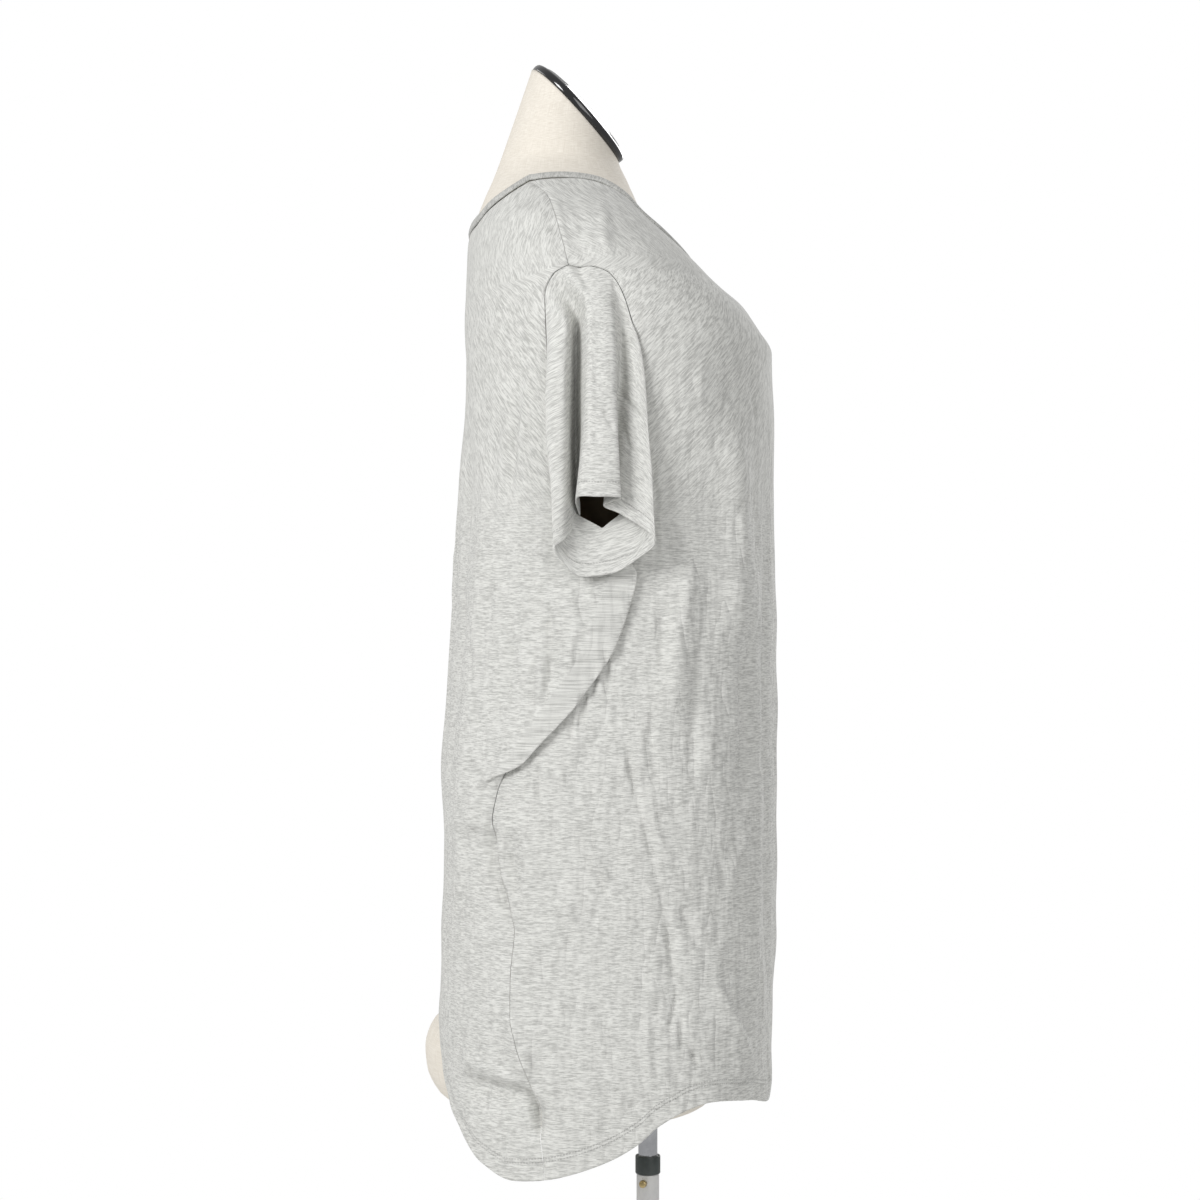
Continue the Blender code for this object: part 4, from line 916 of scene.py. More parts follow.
def sleeve_starts(right):
    """Where the sleeve's columns begin on the armhole, just inside its edge."""
    starts = closed_curve(ARMHOLE_STARTS, SLEEVE_AROUND)
    starts, heading = onto_line(starts, armhole_line(right))
    inward = np.stack([heading[:, 1], -heading[:, 0]], axis=1)
    starts = starts + inward * SEAM_INSET
    turn = turn_at(starts[:, 0], starts[:, 1], right)
    first = drape(turn, starts[:, 1], 0.0, np.zeros(SLEEVE_AROUND))
    first[:, 1] = -np.abs(first[:, 1])
    return first


def sleeve_grid(right):
    """A sleeve, drawn on the right, one loop of points a row from the armhole to the hem."""
    first = sleeve_starts(right)
    places = np.array([0.0] + [place for place, _ in SLEEVE])
    loops = np.stack([first] + [closed_curve(points, SLEEVE_AROUND) for _, points in SLEEVE])
    s = np.linspace(0, 1, SLEEVE_ROWS + 1)
    rows = np.empty((len(s), SLEEVE_AROUND, 3))
    for p in range(SLEEVE_AROUND):
        for k in range(3):
            rows[:, p, k] = smooth(s, places, loops[:, p, k])
    return rows


def sleeve(right):
    """A sleeve's points, drawn on the right, with its creases and waves."""
    grid = sleeve_grid(right)
    normals = grid_normals(grid, True)
    outward = ease(-normals[..., 1], *SLEEVE_FACING)
    rise = waves(grid + np.array([SLEEVE_WAVE_SHIFT, 0, 0]))
    for crease in SLEEVE_CREASES:
        rise += outward * path_rise(grid[..., 0], grid[..., 2], *crease)
    down = np.linspace(0, 1, SLEEVE_ROWS + 1)[:, None]
    return grid + normals * (rise * ease(down, 0.0, SLEEVE_START_FADE))[..., None]


def grid_normals(grid, around):
    """Unit normals of a grid of points, which may close round its second axis."""
    down = np.gradient(grid, axis=0)
    if around:
        across = (np.roll(grid, -1, axis=1) - np.roll(grid, 1, axis=1)) / 2
    else:
        across = np.gradient(grid, axis=1)
    normal = np.cross(down, across)
    return normal / np.maximum(np.linalg.norm(normal, axis=-1, keepdims=True), 1e-12)


def hem_layer(grid, around, depth):
    """Rows that carry the grid on round its foot and up inside, as a turned hem."""
    above = foot_lengths(grid)[::-1]
    normals = grid_normals(grid, around)[::-1]
    points = grid[::-1]
    reach = depth * np.array([0.0, 0.06, 0.2, 0.4, 0.6, 0.8, 0.95, 1.0])
    sink = HEM_LAYER * np.array([0.5, 0.9, 1.0, 1.0, 1.0, 1.0, 0.9, 0.6])
    rows = np.empty((len(reach), grid.shape[1], 3))
    for c in range(grid.shape[1]):
        for k in range(3):
            place = np.interp(reach, above[:, c], points[:, c, k])
            rows[:, c, k] = place - sink * np.interp(reach, above[:, c], normals[:, c, k])
    rows[0, :, 2] -= HEM_LAYER * HEM_ROLL
    return rows, reach


def grid_faces(rows, columns, around):
    """Quads of a grid, and each corner's place on the same grid cut open along its first column."""
    spans = columns if around else columns - 1
    r, c = (part.ravel() for part in np.meshgrid(np.arange(rows - 1), np.arange(spans), indexing="ij"))
    corners = [(r, c), (r + 1, c), (r + 1, c + 1), (r, c + 1)]
    faces = np.stack([a * columns + b % columns for a, b in corners], axis=1)
    flat = np.stack([a * (spans + 1) + b for a, b in corners], axis=1)
    return faces, flat


def add_mesh(name, vertices, faces, finish, maps=None, flat=None):
    """An object of smooth faces. Each map gives every place of the flat grid its two numbers."""
    mesh = bpy.data.meshes.new(name)
    mesh.from_pydata(np.asarray(vertices, float).tolist(), [], [list(map(int, f)) for f in faces])
    mesh.shade_smooth()
    for title, values in (maps or {}).items():
        layer = mesh.uv_layers.new(name=title)
        layer.data.foreach_set("uv", values.reshape(-1, 2)[flat.ravel()].astype(np.float32).ravel())
    mesh.materials.append(finish)
    mesh.validate()
    made = bpy.data.objects.new(name, mesh)
    bpy.context.scene.collection.objects.link(made)
    return made


def add_cloth(name, grid, maps, finish, around=False, hem=HEM_DEPTH):
    """A thin sheet from a grid of points, with a turned hem at its foot."""
    above = foot_lengths(grid)
    layer, reach = hem_layer(grid, around, hem)
    full = np.concatenate([grid, layer])
    last = {title: values[-1:] for title, values in maps.items()}
    step = np.zeros((len(reach), 1, 2))
    step[:, 0, 1] = -reach
    maps = {title: np.concatenate([values, last[title] + step]) for title, values in maps.items()}
    along = row_lengths(grid)[-1]
    edge = np.stack([np.broadcast_to(along, above.shape), above], axis=-1)
    inner = np.stack([np.broadcast_to(along, (len(reach), len(along))),
                      np.broadcast_to(reach[:, None], (len(reach), len(along)))], axis=-1)
    maps["edge"] = np.concatenate([edge, inner])
    if around:
        girth = row_lengths(np.concatenate([grid, grid[:, :1]], axis=1))[-1, -1]
        for title, values in maps.items():
            closing = values[:, :1] + np.array([girth, 0.0])
            maps[title] = np.concatenate([values, closing], axis=1)
    faces, flat = grid_faces(len(full), full.shape[1], around)
    return add_mesh(name, full.reshape(-1, 3), faces, finish, maps, flat)


def sleeve_maps(grid):
    """Where each point of a sleeve lies on its cut cloth."""
    along = np.broadcast_to(row_lengths(grid)[-1], grid.shape[:2])
    return {"course": np.stack([along, foot_lengths(grid)], axis=-1)}


def neck_line():
    """The neck seam once round at even steps: turn and height."""
    turn, height = [], []
    for name in ("back", "front"):
        share = np.linspace(0, 1, BAND_AROUND)
        turns, heights = panel_grid(name, share)
        turn.append(turns[0, :-1])
        height.append(heights[0, :-1])
    turn, height = np.concatenate(turn), np.concatenate(height)
    points = cloth_base(turn, height)
    steps = np.linalg.norm(np.diff(np.concatenate([points, points[:1]]), axis=0), axis=1)
    place = np.concatenate([[0], np.cumsum(steps)])
    even = np.linspace(0, place[-1], BAND_AROUND, endpoint=False)
    turn = np.interp(even, place, np.append(turn, turn[0] + 1))
    return turn, np.interp(even, place, np.append(height, height[0])), place[-1]


def steadied(values):
    """Values round a loop with strays taken out and the rest smoothed."""
    reach = range(-STEADY_REACH, STEADY_REACH + 1)
    middle = np.median(np.stack([np.roll(values, s) for s in reach]), axis=0)
    near = range(-STEADY_REACH // 2, STEADY_REACH // 2 + 1)
    return np.mean(np.stack([np.roll(middle, s) for s in near]), axis=0)


def neck_band(finish):
    """The binding that stands up from the neck seam along the surface, as one closed roll."""
    turn, height, girth = neck_line()
    seam = cloth_base(turn, height)
    along = np.roll(seam, -3, axis=0) - np.roll(seam, 3, axis=0)
    step = 0.0005
    rings = []
    for width, rise in BAND_PROFILE:
        ring_turn, level = turn, height
        for _ in range(3):
            middle, half_way = (turn + ring_turn) / 2, (height + level) / 2
            ahead, behind = cloth_base(middle + step, half_way), cloth_base(middle - step, half_way)
            above, below = cloth_base(middle, half_way + step), cloth_base(middle, half_way - step)
            round_rate = (ahead - behind) / (2 * step)
            up_rate = (above - below) / (2 * step)
            up = np.cross(cloth_normal(middle, half_way), along)
            up *= np.sign(up[:, 2:]) * width / np.linalg.norm(up, axis=1, keepdims=True)
            level = height + up[:, 2]
            rest = up - up_rate * up[:, 2:]
            ring_turn = turn + np.sum(rest * round_rate, axis=1) / np.sum(round_rate ** 2, axis=1)
        ring_turn = turn + steadied(ring_turn - turn)
        level = height + steadied(level - height)
        normal = np.stack([steadied(part) for part in cloth_normal(ring_turn, level).T], axis=1)
        rings.append(cloth_base(ring_turn, level) + normal * rise)
    rings.append(rings[0])
    grid = np.stack(rings[::-1])
    count = len(grid)
    across = np.linspace(0, BAND_STRIP, count)[:, None]
    run = np.linspace(0, girth, BAND_AROUND + 1)[None, :]
    course = np.stack(np.broadcast_arrays(across, run), axis=-1)
    faces, flat = grid_faces(count, BAND_AROUND, True)
    faces %= (count - 1) * BAND_AROUND
    return add_mesh("neck_binding", grid[:-1].reshape(-1, 3), faces, finish, {"course": course}, flat)


def stack_faces(count, around):
    """Quads between rings from the lowest up, and triangles that close both ends."""
    faces, _ = grid_faces(count, around, True)
    faces = [tuple(f[::-1]) for f in faces]
    top = (count - 1) * around
    middle_low, middle_high = count * around, count * around + 1
    for c in range(around):
        following = (c + 1) % around
        faces.append((following, c, middle_low))
        faces.append((top + c, top + following, middle_high))
    return faces


def map_weave(mesh, around, girth):
    """A map of a stack's cloth: how far round it each place is, and its height."""
    corner = np.empty(len(mesh.loops), int)
    mesh.loops.foreach_get("vertex_index", corner)
    total = np.empty(len(mesh.polygons), int)
    mesh.polygons.foreach_get("loop_total", total)
    places = np.empty(len(mesh.vertices) * 3)
    mesh.vertices.foreach_get("co", places)
    face = np.repeat(np.arange(len(total)), total)
    column = corner % around
    closing = np.zeros(len(total), bool)
    closing[face[column == around - 1]] = True
    share = np.where(closing[face] & (column == 0), 1.0, column / around)
    values = np.stack([share * girth, places[2::3][corner]], axis=1)
    layer = mesh.uv_layers.new(name="weave")
    layer.data.foreach_set("uv", values.astype(np.float32).ravel())


def add_stack(name, rings, finish, weave=0.0):
    """A closed solid through rings of points, with a point in the middle of each end.

    weave is the length of cloth round it, if its finish is woven.
    """
    rings = np.asarray(rings)
    count, around = rings.shape[:2]
    ends = [rings[:1].mean(axis=1), rings[-1:].mean(axis=1)]
    vertices = np.concatenate([rings.reshape(-1, 3)] + ends)
    made = add_mesh(name, vertices, stack_faces(count, around), finish)
    if weave:
        map_weave(made.data, around, weave)
    return made


def scaled(ring, size):
    """A level ring made smaller or larger about its middle."""
    centre = ring.mean(axis=0)
    return centre + (ring - centre) * np.array([size, size, 1])


def dress_form(finish):
    """The form with a shallow seam down each side, and the rim of its slanted neck."""
    turn = np.linspace(0, 1, FORM_AROUND, endpoint=False)
    rings = []
    for size, height in FORM_FOOT:
        ring = scaled(form_point(turn, np.full(FORM_AROUND, FORM[0, 0])), size)
        ring[:, 2] = height
        rings.append(ring)
    for height in np.linspace(FIRST_RING, NECK_FOOT, FORM_ROWS):
        ring = form_point(turn, np.full(FORM_AROUND, height))
        rings.append(scaled(ring, 1 - FORM_EASE * (1 - ease(height, SHOULDER_TOP, NECK_FOOT))))
    for height in np.linspace(NECK_FOOT + 0.003, CAP_HEIGHT, NECK_ROWS):
        rings.append(slanted_ring(turn, height, smooth(height, LEANING[:, 0], LEANING[:, 1])))
    rings = np.array(rings)
    seam = np.abs(turn[:, None] - np.array([0.25, 0.75])).min(axis=1) < 0.5 / FORM_AROUND
    middle = rings.mean(axis=1, keepdims=True)
    inward = (middle - rings) / np.linalg.norm(middle - rings, axis=-1, keepdims=True)
    inward[..., 2] = 0
    first = len(FORM_FOOT)
    rings[first:] += inward[first:] * (seam * FORM_SEAM_DIP)[None, :, None]
    return add_stack("form_body", rings, finish, FORM_GIRTH), rings[-1]


def neck_cap(rim, finish):
    """A thin domed plate on the cut of the neck, with a rolled rim."""
    centre = rim.mean(axis=0)
    up = np.array([CAP_SLOPE, 0, 1]) / np.hypot(CAP_SLOPE, 1)
    rows = [(0.970, FIT_GAP), (0.990, 0.0006), (1.000, 0.0016), (1.004, 0.0030), (1.004, 0.0045),
            (0.998, 0.0060), (0.985, 0.0070), (0.965, 0.0076), (0.940, 0.0081), (0.900, CAP_THICK)]
    rings = [centre + (rim - centre) * size + up * rise for size, rise in rows]
    for size in np.linspace(0.84, 0.04, 16):
        rings.append(centre + (rim - centre) * size + up * (CAP_THICK + CAP_DOME * (1 - size ** 2)))
    return add_stack("neck_cap_dome", rings, finish)


def arm_plate(name, right, finish):
    """An oval plate with a rounded edge that follows the side of the form."""
    sign = 1 if right else -1
    angle = np.linspace(0, 2 * np.pi, PLATE_AROUND, endpoint=False)
    rings = []
    rows = [(size, 0.0) for size in PLATE_SIZES]
    rows += [(0.99, 0.0004), (1.0, 0.0012), (0.997, 0.0022), (0.985, 0.0028)]
    rows += [(size, PLATE_WALL) for size in reversed(PLATE_SIZES)]
    for size, out in rows:
        x = PLATE_X + size * PLATE_HALF_WIDE * np.cos(angle)
        z = PLATE_HEIGHT + size * PLATE_HALF_HIGH * np.sin(angle)
        back, front, half, back_power, front_power = section_values(FORM, z)
        forward = (x - (back + front) / 2) / ((front - back) / 2)
        power = np.where(forward < 0, back_power, front_power)
        y = -half * (1 - np.abs(forward) ** power) ** (1 / power)
        rings.append(np.stack([x, sign * (y - PLATE_GAP - out), z], axis=1))
    return add_stack(name, rings if right else [ring[::-1] for ring in rings], finish)


def turned(name, profile, finish, sides=64, ridges=0, ridge_depth=0.0):
    """A round piece from (radius, height) pairs, lowest first, with fine ridges round it if asked."""
    angle = np.linspace(0, 2 * np.pi, sides, endpoint=False)
    circle = np.stack([np.cos(angle), np.sin(angle), 0 * angle], axis=1)
    ridged_from = 0.9 * max(radius for radius, _ in profile)
    rings = []
    for radius, height in profile:
        depth = ridge_depth * (radius > ridged_from)
        reach = radius - depth * (0.5 - 0.5 * np.cos(ridges * angle))
        rings.append(circle * reach[:, None] + np.array([0, 0, height]))
    return add_stack(name, rings, finish)


def rounded(radius, low, high, bevel):
    """The profile of a plain cylinder with both its edges rounded."""
    bend = np.linspace(0, np.pi / 2, 5)
    lower = [(radius - bevel + bevel * np.sin(a), low + bevel - bevel * np.cos(a)) for a in bend]
    upper = [(r, low + high - z) for r, z in lower[::-1]]
    return [(radius * 0.5, low)] + lower + upper + [(radius * 0.5, high)]


def stand(finishes):
    """The base, both tubes of the pole, the collar that clamps them and its screw."""
    outer = BASE_RADIUS
    made = {"base": turned("base_disc", [
        (outer * 0.6, 0.0), (outer - 0.0015, 0.0), (outer - 0.0004, 0.0004), (outer, 0.0014),
        (outer, 0.0034), (outer - 0.0005, 0.0048), (outer - 0.002, BASE_RIM),
        (0.150, 0.0077), (0.105, 0.0100), (0.060, 0.0117),
        (SOCKET_RADIUS + 0.010, BASE_CROWN), (SOCKET_RADIUS + 0.005, 0.0140),
        (SOCKET_RADIUS + 0.002, 0.0160), (SOCKET_RADIUS + 0.0004, 0.0185), (SOCKET_RADIUS, 0.022),
        (SOCKET_RADIUS, SOCKET_TOP - 0.0015), (SOCKET_RADIUS - 0.0006, SOCKET_TOP - 0.0004),
        (SOCKET_RADIUS - 0.0018, SOCKET_TOP)], finishes["painted"], 160)}
    made["pole_lower"] = turned("pole_tube_lower", rounded(
        LOWER_TUBE_RADIUS, SOCKET_TOP, COLLAR_BOTTOM - FIT_GAP, 0.0006), finishes["painted"])
    made["pole_upper"] = turned("pole_tube_upper", rounded(
        POLE_RADIUS, COLLAR_BOTTOM, FORM[0, 0] - FIT_GAP, 0.0004), finishes["chrome"])
    made["pole_collar"] = turned("clamp_collar", rounded(
        COLLAR_RADIUS, COLLAR_BOTTOM, COLLAR_TOP, 0.0012), finishes["collar"])
    made["thumb_screw"] = turned("clamp_screw", [
        (SCREW_RADIUS * 0.3, 0.0), (SCREW_RADIUS * 0.55, 0.0002), (SCREW_RADIUS * 0.55, 0.0025),
        (SCREW_RADIUS * 0.92, 0.0029), (SCREW_RADIUS, 0.0034), (SCREW_RADIUS, SCREW_REACH - 0.0009),
        (SCREW_RADIUS * 0.9, SCREW_REACH - 0.0003), (SCREW_RADIUS * 0.5, SCREW_REACH)],
        finishes["brass"], 96, 24, 0.00035)
    aim = Vector(SCREW_AIM).normalized()
    start = aim * (LOWER_TUBE_RADIUS + FIT_GAP) + Vector((0, 0, SCREW_HEIGHT))
    turn = Vector((0, 0, 1)).rotation_difference(aim).to_matrix().to_4x4()
    made["thumb_screw"].data.transform(Matrix.Translation(start) @ turn)
    return made


class Nodes:
    """A material's node tree, with short calls to add to it."""

    def __init__(self, name):
        self.material = bpy.data.materials.new(name)
        self.material.use_nodes = True
        self.tree = self.material.node_tree
        self.shader = self.tree.nodes["Principled BSDF"]

    def add(self, kind, settings=None, **inputs):
        """A node with its settings and inputs set. An input takes a number, a colour or a socket."""
        node = self.tree.nodes.new("ShaderNode" + kind)
        for key, value in (settings or {}).items():
            setattr(node, key, value)
        for key, value in inputs.items():
            self.put(node, key.replace("_", " "), value)
        return node

    def put(self, node, key, value):
        """Sets an input by its name, or by its number as i0, i1 and so on."""
        numbered = key[0] == "i" and key[1:].isdigit()
        socket = node.inputs[int(key[1:]) if numbered else key]
        if hasattr(value, "is_output"):
            self.tree.links.new(value, socket)
        else:
            socket.default_value = value

    def math(self, operation, *values):
        """A sum on numbers or sockets."""
        node = self.add("Math", {"operation": operation})
        for i, value in enumerate(values):
            self.put(node, f"i{i}", value)
        return node.outputs[0]

    def ramp(self, value, low, high, start=0.0, end=1.0):
        """A smooth step of value from low to high, between two numbers."""
        node = self.add("MapRange", {"interpolation_type": "SMOOTHSTEP"}, Value=value,
                        From_Min=low, From_Max=high, To_Min=start, To_Max=end)
        return node.outputs["Result"]

    def noise(self, place, scale, detail=2.0, roughness=0.5, offset=0.0):
        """Noise between 0 and 1, stretched by a different scale along each axis."""
        moved = self.add("Mapping", Vector=place)
        moved.inputs["Scale"].default_value = scale
        moved.inputs["Location"].default_value = (offset, offset * 0.7, offset * 0.3)
        made = self.add("TexNoise", Vector=moved.outputs[0], Scale=1.0, Detail=detail,
                        Roughness=roughness)
        return made.outputs["Fac"]

    def mix(self, factor, first, second):
        """A colour between two."""
        node = self.add("Mix", {"data_type": "RGBA"})
        self.put(node, "i0", factor)
        self.put(node, "i6", first)
        self.put(node, "i7", second)
        return node.outputs[2]

    def blend(self, factor, first, second):
        """A number between two."""
        return self.add("Mix", {"data_type": "FLOAT"}, Factor=factor, A=first, B=second).outputs[0]

    def bump(self, height, distance, strength=1.0, normal=None):
        """A surface raised by height, on top of another one if it is given."""
        node = self.add("Bump", Height=height, Distance=distance, Strength=strength)
        if normal is not None:
            self.put(node, "Normal", normal)
        return node.outputs[0]


def streaks(nodes, place, across, offset):
    """Long thin marks of mixed yarn. across is which of the two numbers of the map they are thin in."""
    fine = [STREAK_LONG, STREAK_LONG, 1.0]
    fine[across] = STREAK_THIN
    soft = [STREAK_LONG * 0.5, STREAK_LONG * 0.5, 1.0]
    soft[across] = STREAK_THIN * 0.45
    first = nodes.noise(place, fine, 2.5, 0.62, offset)
    second = nodes.noise(place, soft, 2.0, 0.5, offset + 11.0)
    return nodes.math("ADD", nodes.math("MULTIPLY", first, 0.66), nodes.math("MULTIPLY", second, 0.34))


def shade(colour, tone):
    """A colour made lighter or darker, with its alpha."""
    return tuple(min(tone * part, YARN_LIGHTEST) for part in colour) + (1.0,)


def stitches(nodes, lines):
    """How much thread shows at each place near a hem, from 0 to 1, in lines above its edge."""
    edge = nodes.add("UVMap", {"uv_map": "edge"}).outputs[0]
    parts = nodes.add("SeparateXYZ", Vector=edge).outputs
    thread = None
    for line in lines:
        gap = nodes.math("ABSOLUTE", nodes.math("SUBTRACT", parts["Y"], line))
        row = nodes.ramp(gap, *STITCH_WIDTHS, 1.0, 0.0)
        thread = row if thread is None else nodes.math("MAXIMUM", thread, row)
    beat = nodes.math("SINE", nodes.math("MULTIPLY", parts["X"], 2 * np.pi / STITCH_LENGTH))
    return nodes.math("MULTIPLY", thread, nodes.ramp(beat, -0.7, 0.1))


def jersey(name, tone, turning, stitched):
    """Grey mixed-yarn jersey. On the body its marks turn with the cloth towards the shoulders."""
    nodes = Nodes(name)
    course = nodes.add("UVMap", {"uv_map": "course"}).outputs[0]
    position = nodes.add("TexCoord").outputs["Object"]
    height = nodes.add("SeparateXYZ", Vector=position).outputs["Z"]
    marks = streaks(nodes, course, 1, 0.0)
    if turning:
        bias = nodes.add("UVMap", {"uv_map": "bias"}).outputs[0]
        slanted, upright = streaks(nodes, bias, 1, 5.0), streaks(nodes, course, 0, 9.0)
        marks = nodes.blend(nodes.ramp(height, *BIAS_HEIGHTS), marks, slanted)
        marks = nodes.blend(nodes.ramp(height, *UPRIGHT_HEIGHTS), marks, upright)
    colour = nodes.mix(nodes.ramp(marks, *STREAK_RANGE), shade(YARN_DARK, tone),
                       shade(YARN_LIGHT, tone))
    fibre = nodes.noise(position, (FIBRE_SCALE,) * 3, 2.0, 0.6)
    fuzz = nodes.math("MULTIPLY", nodes.ramp(fibre, *FIBRE_RANGE), FIBRE_SHARE)
    colour = nodes.mix(fuzz, colour, shade(FIBRE_COLOUR, tone))
    knit = nodes.math("ADD", nodes.math("MULTIPLY", marks, 0.7), nodes.math("MULTIPLY", fibre, 0.3))
    normal = nodes.bump(knit, KNIT_DEPTH, 0.55)
    if turning:
        crumple = nodes.noise(position, CRUMPLE_SCALE, 2.5, 0.5, 3.0)
        crumple = nodes.math("ABSOLUTE", nodes.math("SUBTRACT", crumple, 0.5))
        calm = nodes.ramp(height, *CALM_HEIGHTS, 1.0, CALM_SHARE)
        normal = nodes.bump(nodes.math("MULTIPLY", crumple, calm), CRUMPLE_DEPTH, 0.85, normal)
    if stitched:
        thread = stitches(nodes, stitched)
        colour = nodes.mix(nodes.math("MULTIPLY", thread, THREAD_SHARE), colour, THREAD_COLOUR)
        normal = nodes.bump(thread, STITCH_DEPTH, 0.8, normal)
    nodes.put(nodes.shader, "Base Color", colour)
    nodes.put(nodes.shader, "Normal", normal)
    nodes.shader.inputs["Roughness"].default_value = 0.92
    nodes.shader.inputs["Specular IOR Level"].default_value = 0.25
    nodes.shader.inputs["Sheen Weight"].default_value = 0.12
    nodes.shader.inputs["Sheen Roughness"].default_value = 0.5
    return nodes.material


def linen(name):
    """Cream cloth stretched over the form, in a plain weave with a few thicker threads."""
    nodes = Nodes(name)
    place = nodes.add("UVMap", {"uv_map": "weave"}).outputs[0]
    warp = nodes.noise(place, (1500.0, 60.0, 1.0), 2.0, 0.6)
    weft = nodes.noise(place, (60.0, 1900.0, 1.0), 2.0, 0.6, 4.0)
    weave = nodes.math("ADD", nodes.math("MULTIPLY", warp, 0.5), nodes.math("MULTIPLY", weft, 0.5))
    colour = nodes.mix(nodes.ramp(weave, 0.38, 0.64), (0.700, 0.650, 0.570, 1.0),
                       (0.830, 0.785, 0.710, 1.0))
    cloudy = nodes.noise(nodes.add("TexCoord").outputs["Object"], (9.0, 9.0, 9.0), 2.0)
    colour = nodes.mix(nodes.math("MULTIPLY", nodes.ramp(cloudy, 0.4, 0.8), 0.12), colour,
                       (0.68, 0.62, 0.52, 1.0))
    nodes.put(nodes.shader, "Base Color", colour)
    nodes.put(nodes.shader, "Normal", nodes.bump(weave, 0.0003, 0.6))
    nodes.shader.inputs["Roughness"].default_value = 0.85
    nodes.shader.inputs["Specular IOR Level"].default_value = 0.25
    nodes.shader.inputs["Sheen Weight"].default_value = 0.08
    return nodes.material


def hard(name, first, second, rough, metallic=0.0, coat=0.0, scale=60.0, grain=0.00004):
    """A hard finish with a little unevenness in colour, roughness and surface."""
    nodes = Nodes(name)
    place = nodes.add("TexCoord").outputs["Object"]
    cloud = nodes.noise(place, (scale, scale, scale), 3.0, 0.6)
    fine = nodes.noise(place, (scale * 14, scale * 14, scale * 14), 2.0, 0.6, 2.0)
    colour = nodes.mix(nodes.ramp(cloud, 0.3, 0.7), (*first, 1.0), (*second, 1.0))
    nodes.put(nodes.shader, "Base Color", colour)
    nodes.put(nodes.shader, "Roughness", nodes.ramp(cloud, 0.3, 0.7, rough * 0.8, rough * 1.25))
    nodes.put(nodes.shader, "Normal", nodes.bump(fine, grain, 0.5))
    nodes.shader.inputs["Metallic"].default_value = metallic
    nodes.shader.inputs["Coat Weight"].default_value = coat
    nodes.shader.inputs["Coat Roughness"].default_value = 0.06
    return nodes.material


def light(name, place, size, power):
    """A square soft light that faces the shirt."""
    lamp = bpy.data.lights.new(name, "AREA")
    lamp.shape = "SQUARE"
    lamp.size = size
    lamp.energy = power
    made = bpy.data.objects.new(name, lamp)
    made.location = place
    aim = Vector(LIGHT_TARGET) - Vector(place)
    made.rotation_euler = aim.to_track_quat("-Z", "Y").to_euler()
    bpy.context.scene.collection.objects.link(made)


def surround():
    """A white room that shines less on the shirt than it shows behind it."""
    world = bpy.data.worlds.new("studio")
    world.use_nodes = True
    tree = world.node_tree
    path = tree.nodes.new("ShaderNodeLightPath")
    choose = tree.nodes.new("ShaderNodeMixShader")
    tree.links.new(path.outputs["Is Camera Ray"], choose.inputs[0])
    shining, seen = tree.nodes["Background"], tree.nodes.new("ShaderNodeBackground")
    for background, strength, socket in ((shining, WORLD_LIGHT, 1), (seen, 1.0, 2)):
        background.inputs["Color"].default_value = WHITE
        background.inputs["Strength"].default_value = strength
        tree.links.new(background.outputs[0], choose.inputs[socket])
    tree.links.new(choose.outputs[0], tree.nodes["World Output"].inputs["Surface"])
    bpy.context.scene.world = world


def pale_floor():
    """A round floor that isn't part of the object."""
    angle = np.linspace(0, 2 * np.pi, FLOOR_AROUND, endpoint=False)
    circle = np.stack([np.cos(angle), np.sin(angle), 0 * angle], axis=1)
    rings = [circle * radius + np.array([0, 0, height]) for radius, height in
             ((FLOOR_RADIUS, -0.012), (FLOOR_RADIUS + 0.002, -0.006), (FLOOR_RADIUS, 0.0))]
    rings += [circle * FLOOR_RADIUS * size for size in (0.75, 0.5, 0.25)]
    paint = hard("floor_paint", (0.80, 0.80, 0.79), (0.84, 0.84, 0.83), 0.6)
    add_stack("floor", rings, paint)


def studio():
    """Camera, soft light from the upper left, a white surround and a pale floor."""
    scene = bpy.context.scene
    camera = bpy.data.cameras.new("camera")
    camera.lens = CAMERA_LENS
    camera.sensor_width = SENSOR_WIDTH
    camera.clip_start, camera.clip_end = CLIP
    holder = bpy.data.objects.new("camera", camera)
    holder.location = CAMERA_PLACE
    holder.rotation_euler = (np.pi / 2, 0, 0)
    scene.collection.objects.link(holder)
    scene.camera = holder
    scene.view_settings.view_transform = "Standard"
    surround()
    for row in LIGHTS:
        light(*row)
    pale_floor()


def keep(piece, finish, *nodes):
    """Hides the CAD nodes that a piece stands for and hangs the piece on the one body. finish is not
    used.
    """
    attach(piece, "root")
    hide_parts(*nodes)


def corners(box):
    """A box's two corners as plain lists."""
    return [[float(value) for value in corner] for corner in box]


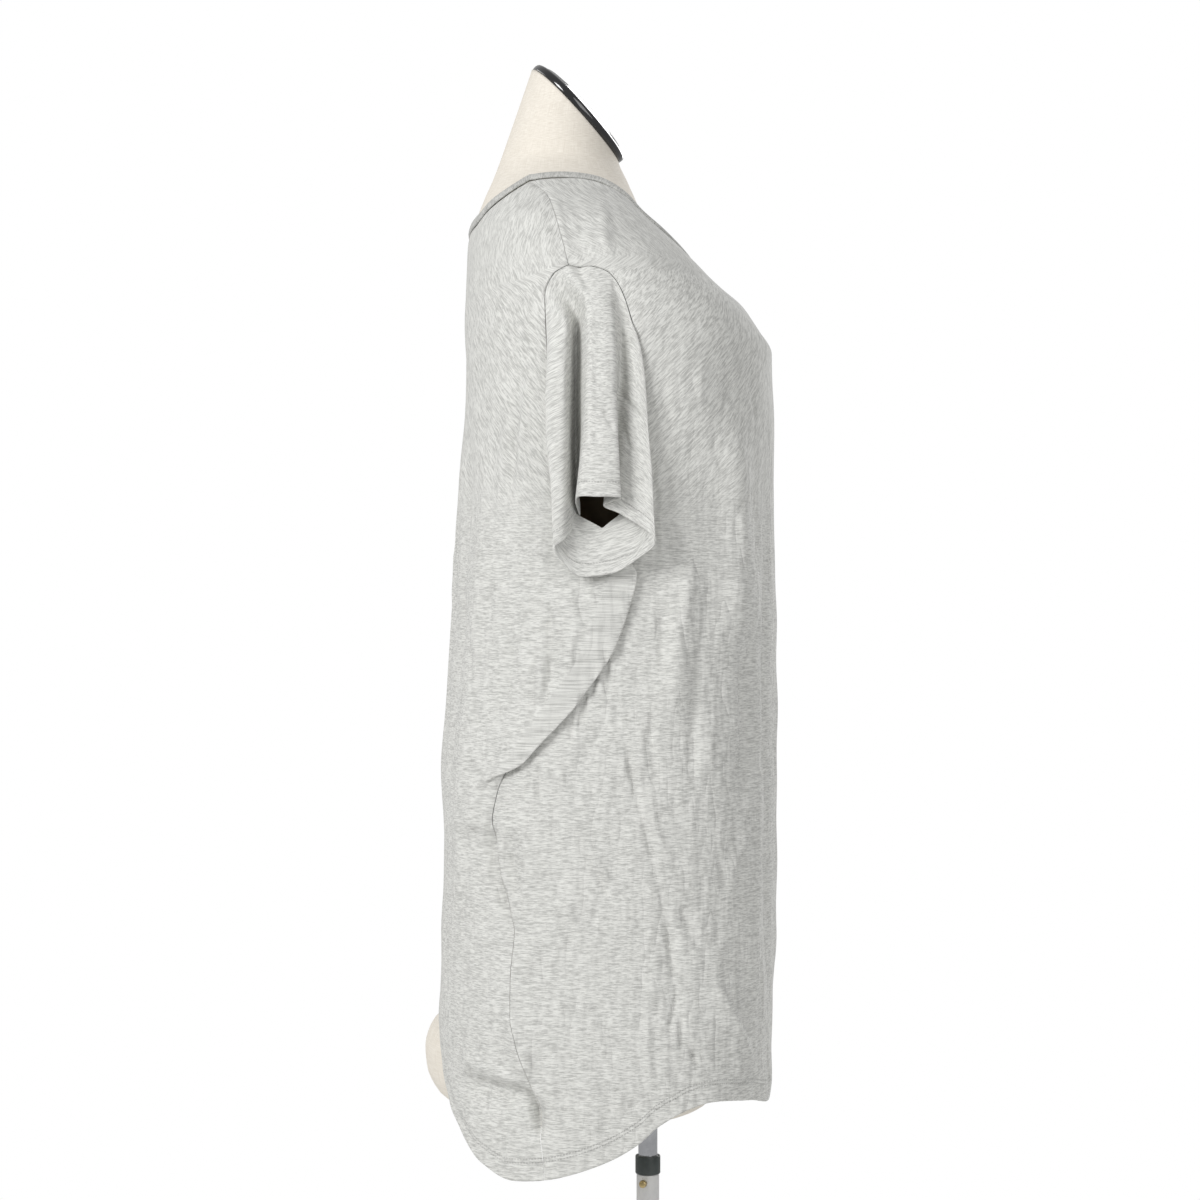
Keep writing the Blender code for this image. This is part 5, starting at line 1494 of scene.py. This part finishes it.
def main():
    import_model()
    studio()
    hem_lines = (HEM_DEPTH - STITCH_GAP, HEM_DEPTH + STITCH_GAP)
    cloth = jersey("heather_jersey", 1.0, True, hem_lines)
    sleeve_cloth = jersey("heather_jersey_sleeve", 1.03, False, (SLEEVE_HEM_DEPTH,))
    binding = jersey("heather_binding", 0.80, False, ())
    cover = linen("cream_linen")
    finishes = {
        "painted": hard("grey_paint", (0.60, 0.60, 0.60), (0.66, 0.66, 0.65), 0.35),
        "chrome": hard("chrome_tube", (0.62, 0.63, 0.65), (0.72, 0.73, 0.75), 0.16, 1.0),
        "collar": hard("dark_collar", (0.030, 0.038, 0.036), (0.050, 0.060, 0.058), 0.40),
        "brass": hard("brass_screw", (0.42, 0.32, 0.15), (0.52, 0.41, 0.21), 0.32, 1.0),
    }
    black = hard("black_gloss", (0.006, 0.006, 0.007), (0.012, 0.012, 0.013), 0.12,
                 coat=0.8, scale=30.0)
    brown = hard("brown_plate", (0.120, 0.085, 0.045), (0.180, 0.130, 0.072), 0.55, scale=25.0)
    form, rim = dress_form(cover)
    keep(form, "linen", "dress_form")
    keep(neck_cap(rim, black), "cap", "neck_cap")
    for side in ("right", "left"):
        plate = arm_plate(f"arm_disc_{side}", side == "right", brown)
        keep(plate, "arm_plate", f"arm_plate_{side}")
    own_slots = {"pole_upper": "chrome", "pole_collar": "collar", "thumb_screw": "brass"}
    for node, piece in stand(finishes).items():
        keep(piece, own_slots.get(node, "painted"), node)
    for node, (grid, maps), area in (("front_panel", front_panel(), FRONT_AREA),
                                     ("back_panel", back_panel(), BACK_AREA)):
        piece = add_cloth(f"{node}_cloth", grid, maps, cloth)
        keep(piece, "jersey", node)
    mirrored = sleeve(False)[:, ::-1] * np.array([1, -1, 1])
    for side, grid in (("right", sleeve(True)), ("left", mirrored)):
        piece = add_cloth(f"sleeve_{side}_cloth", grid, sleeve_maps(grid), sleeve_cloth, True,
                          SLEEVE_HEM_DEPTH)
        keep(piece, "jersey", f"sleeve_{side}")
    band = neck_band(binding)
    keep(band, "band", "neck_band")


main()
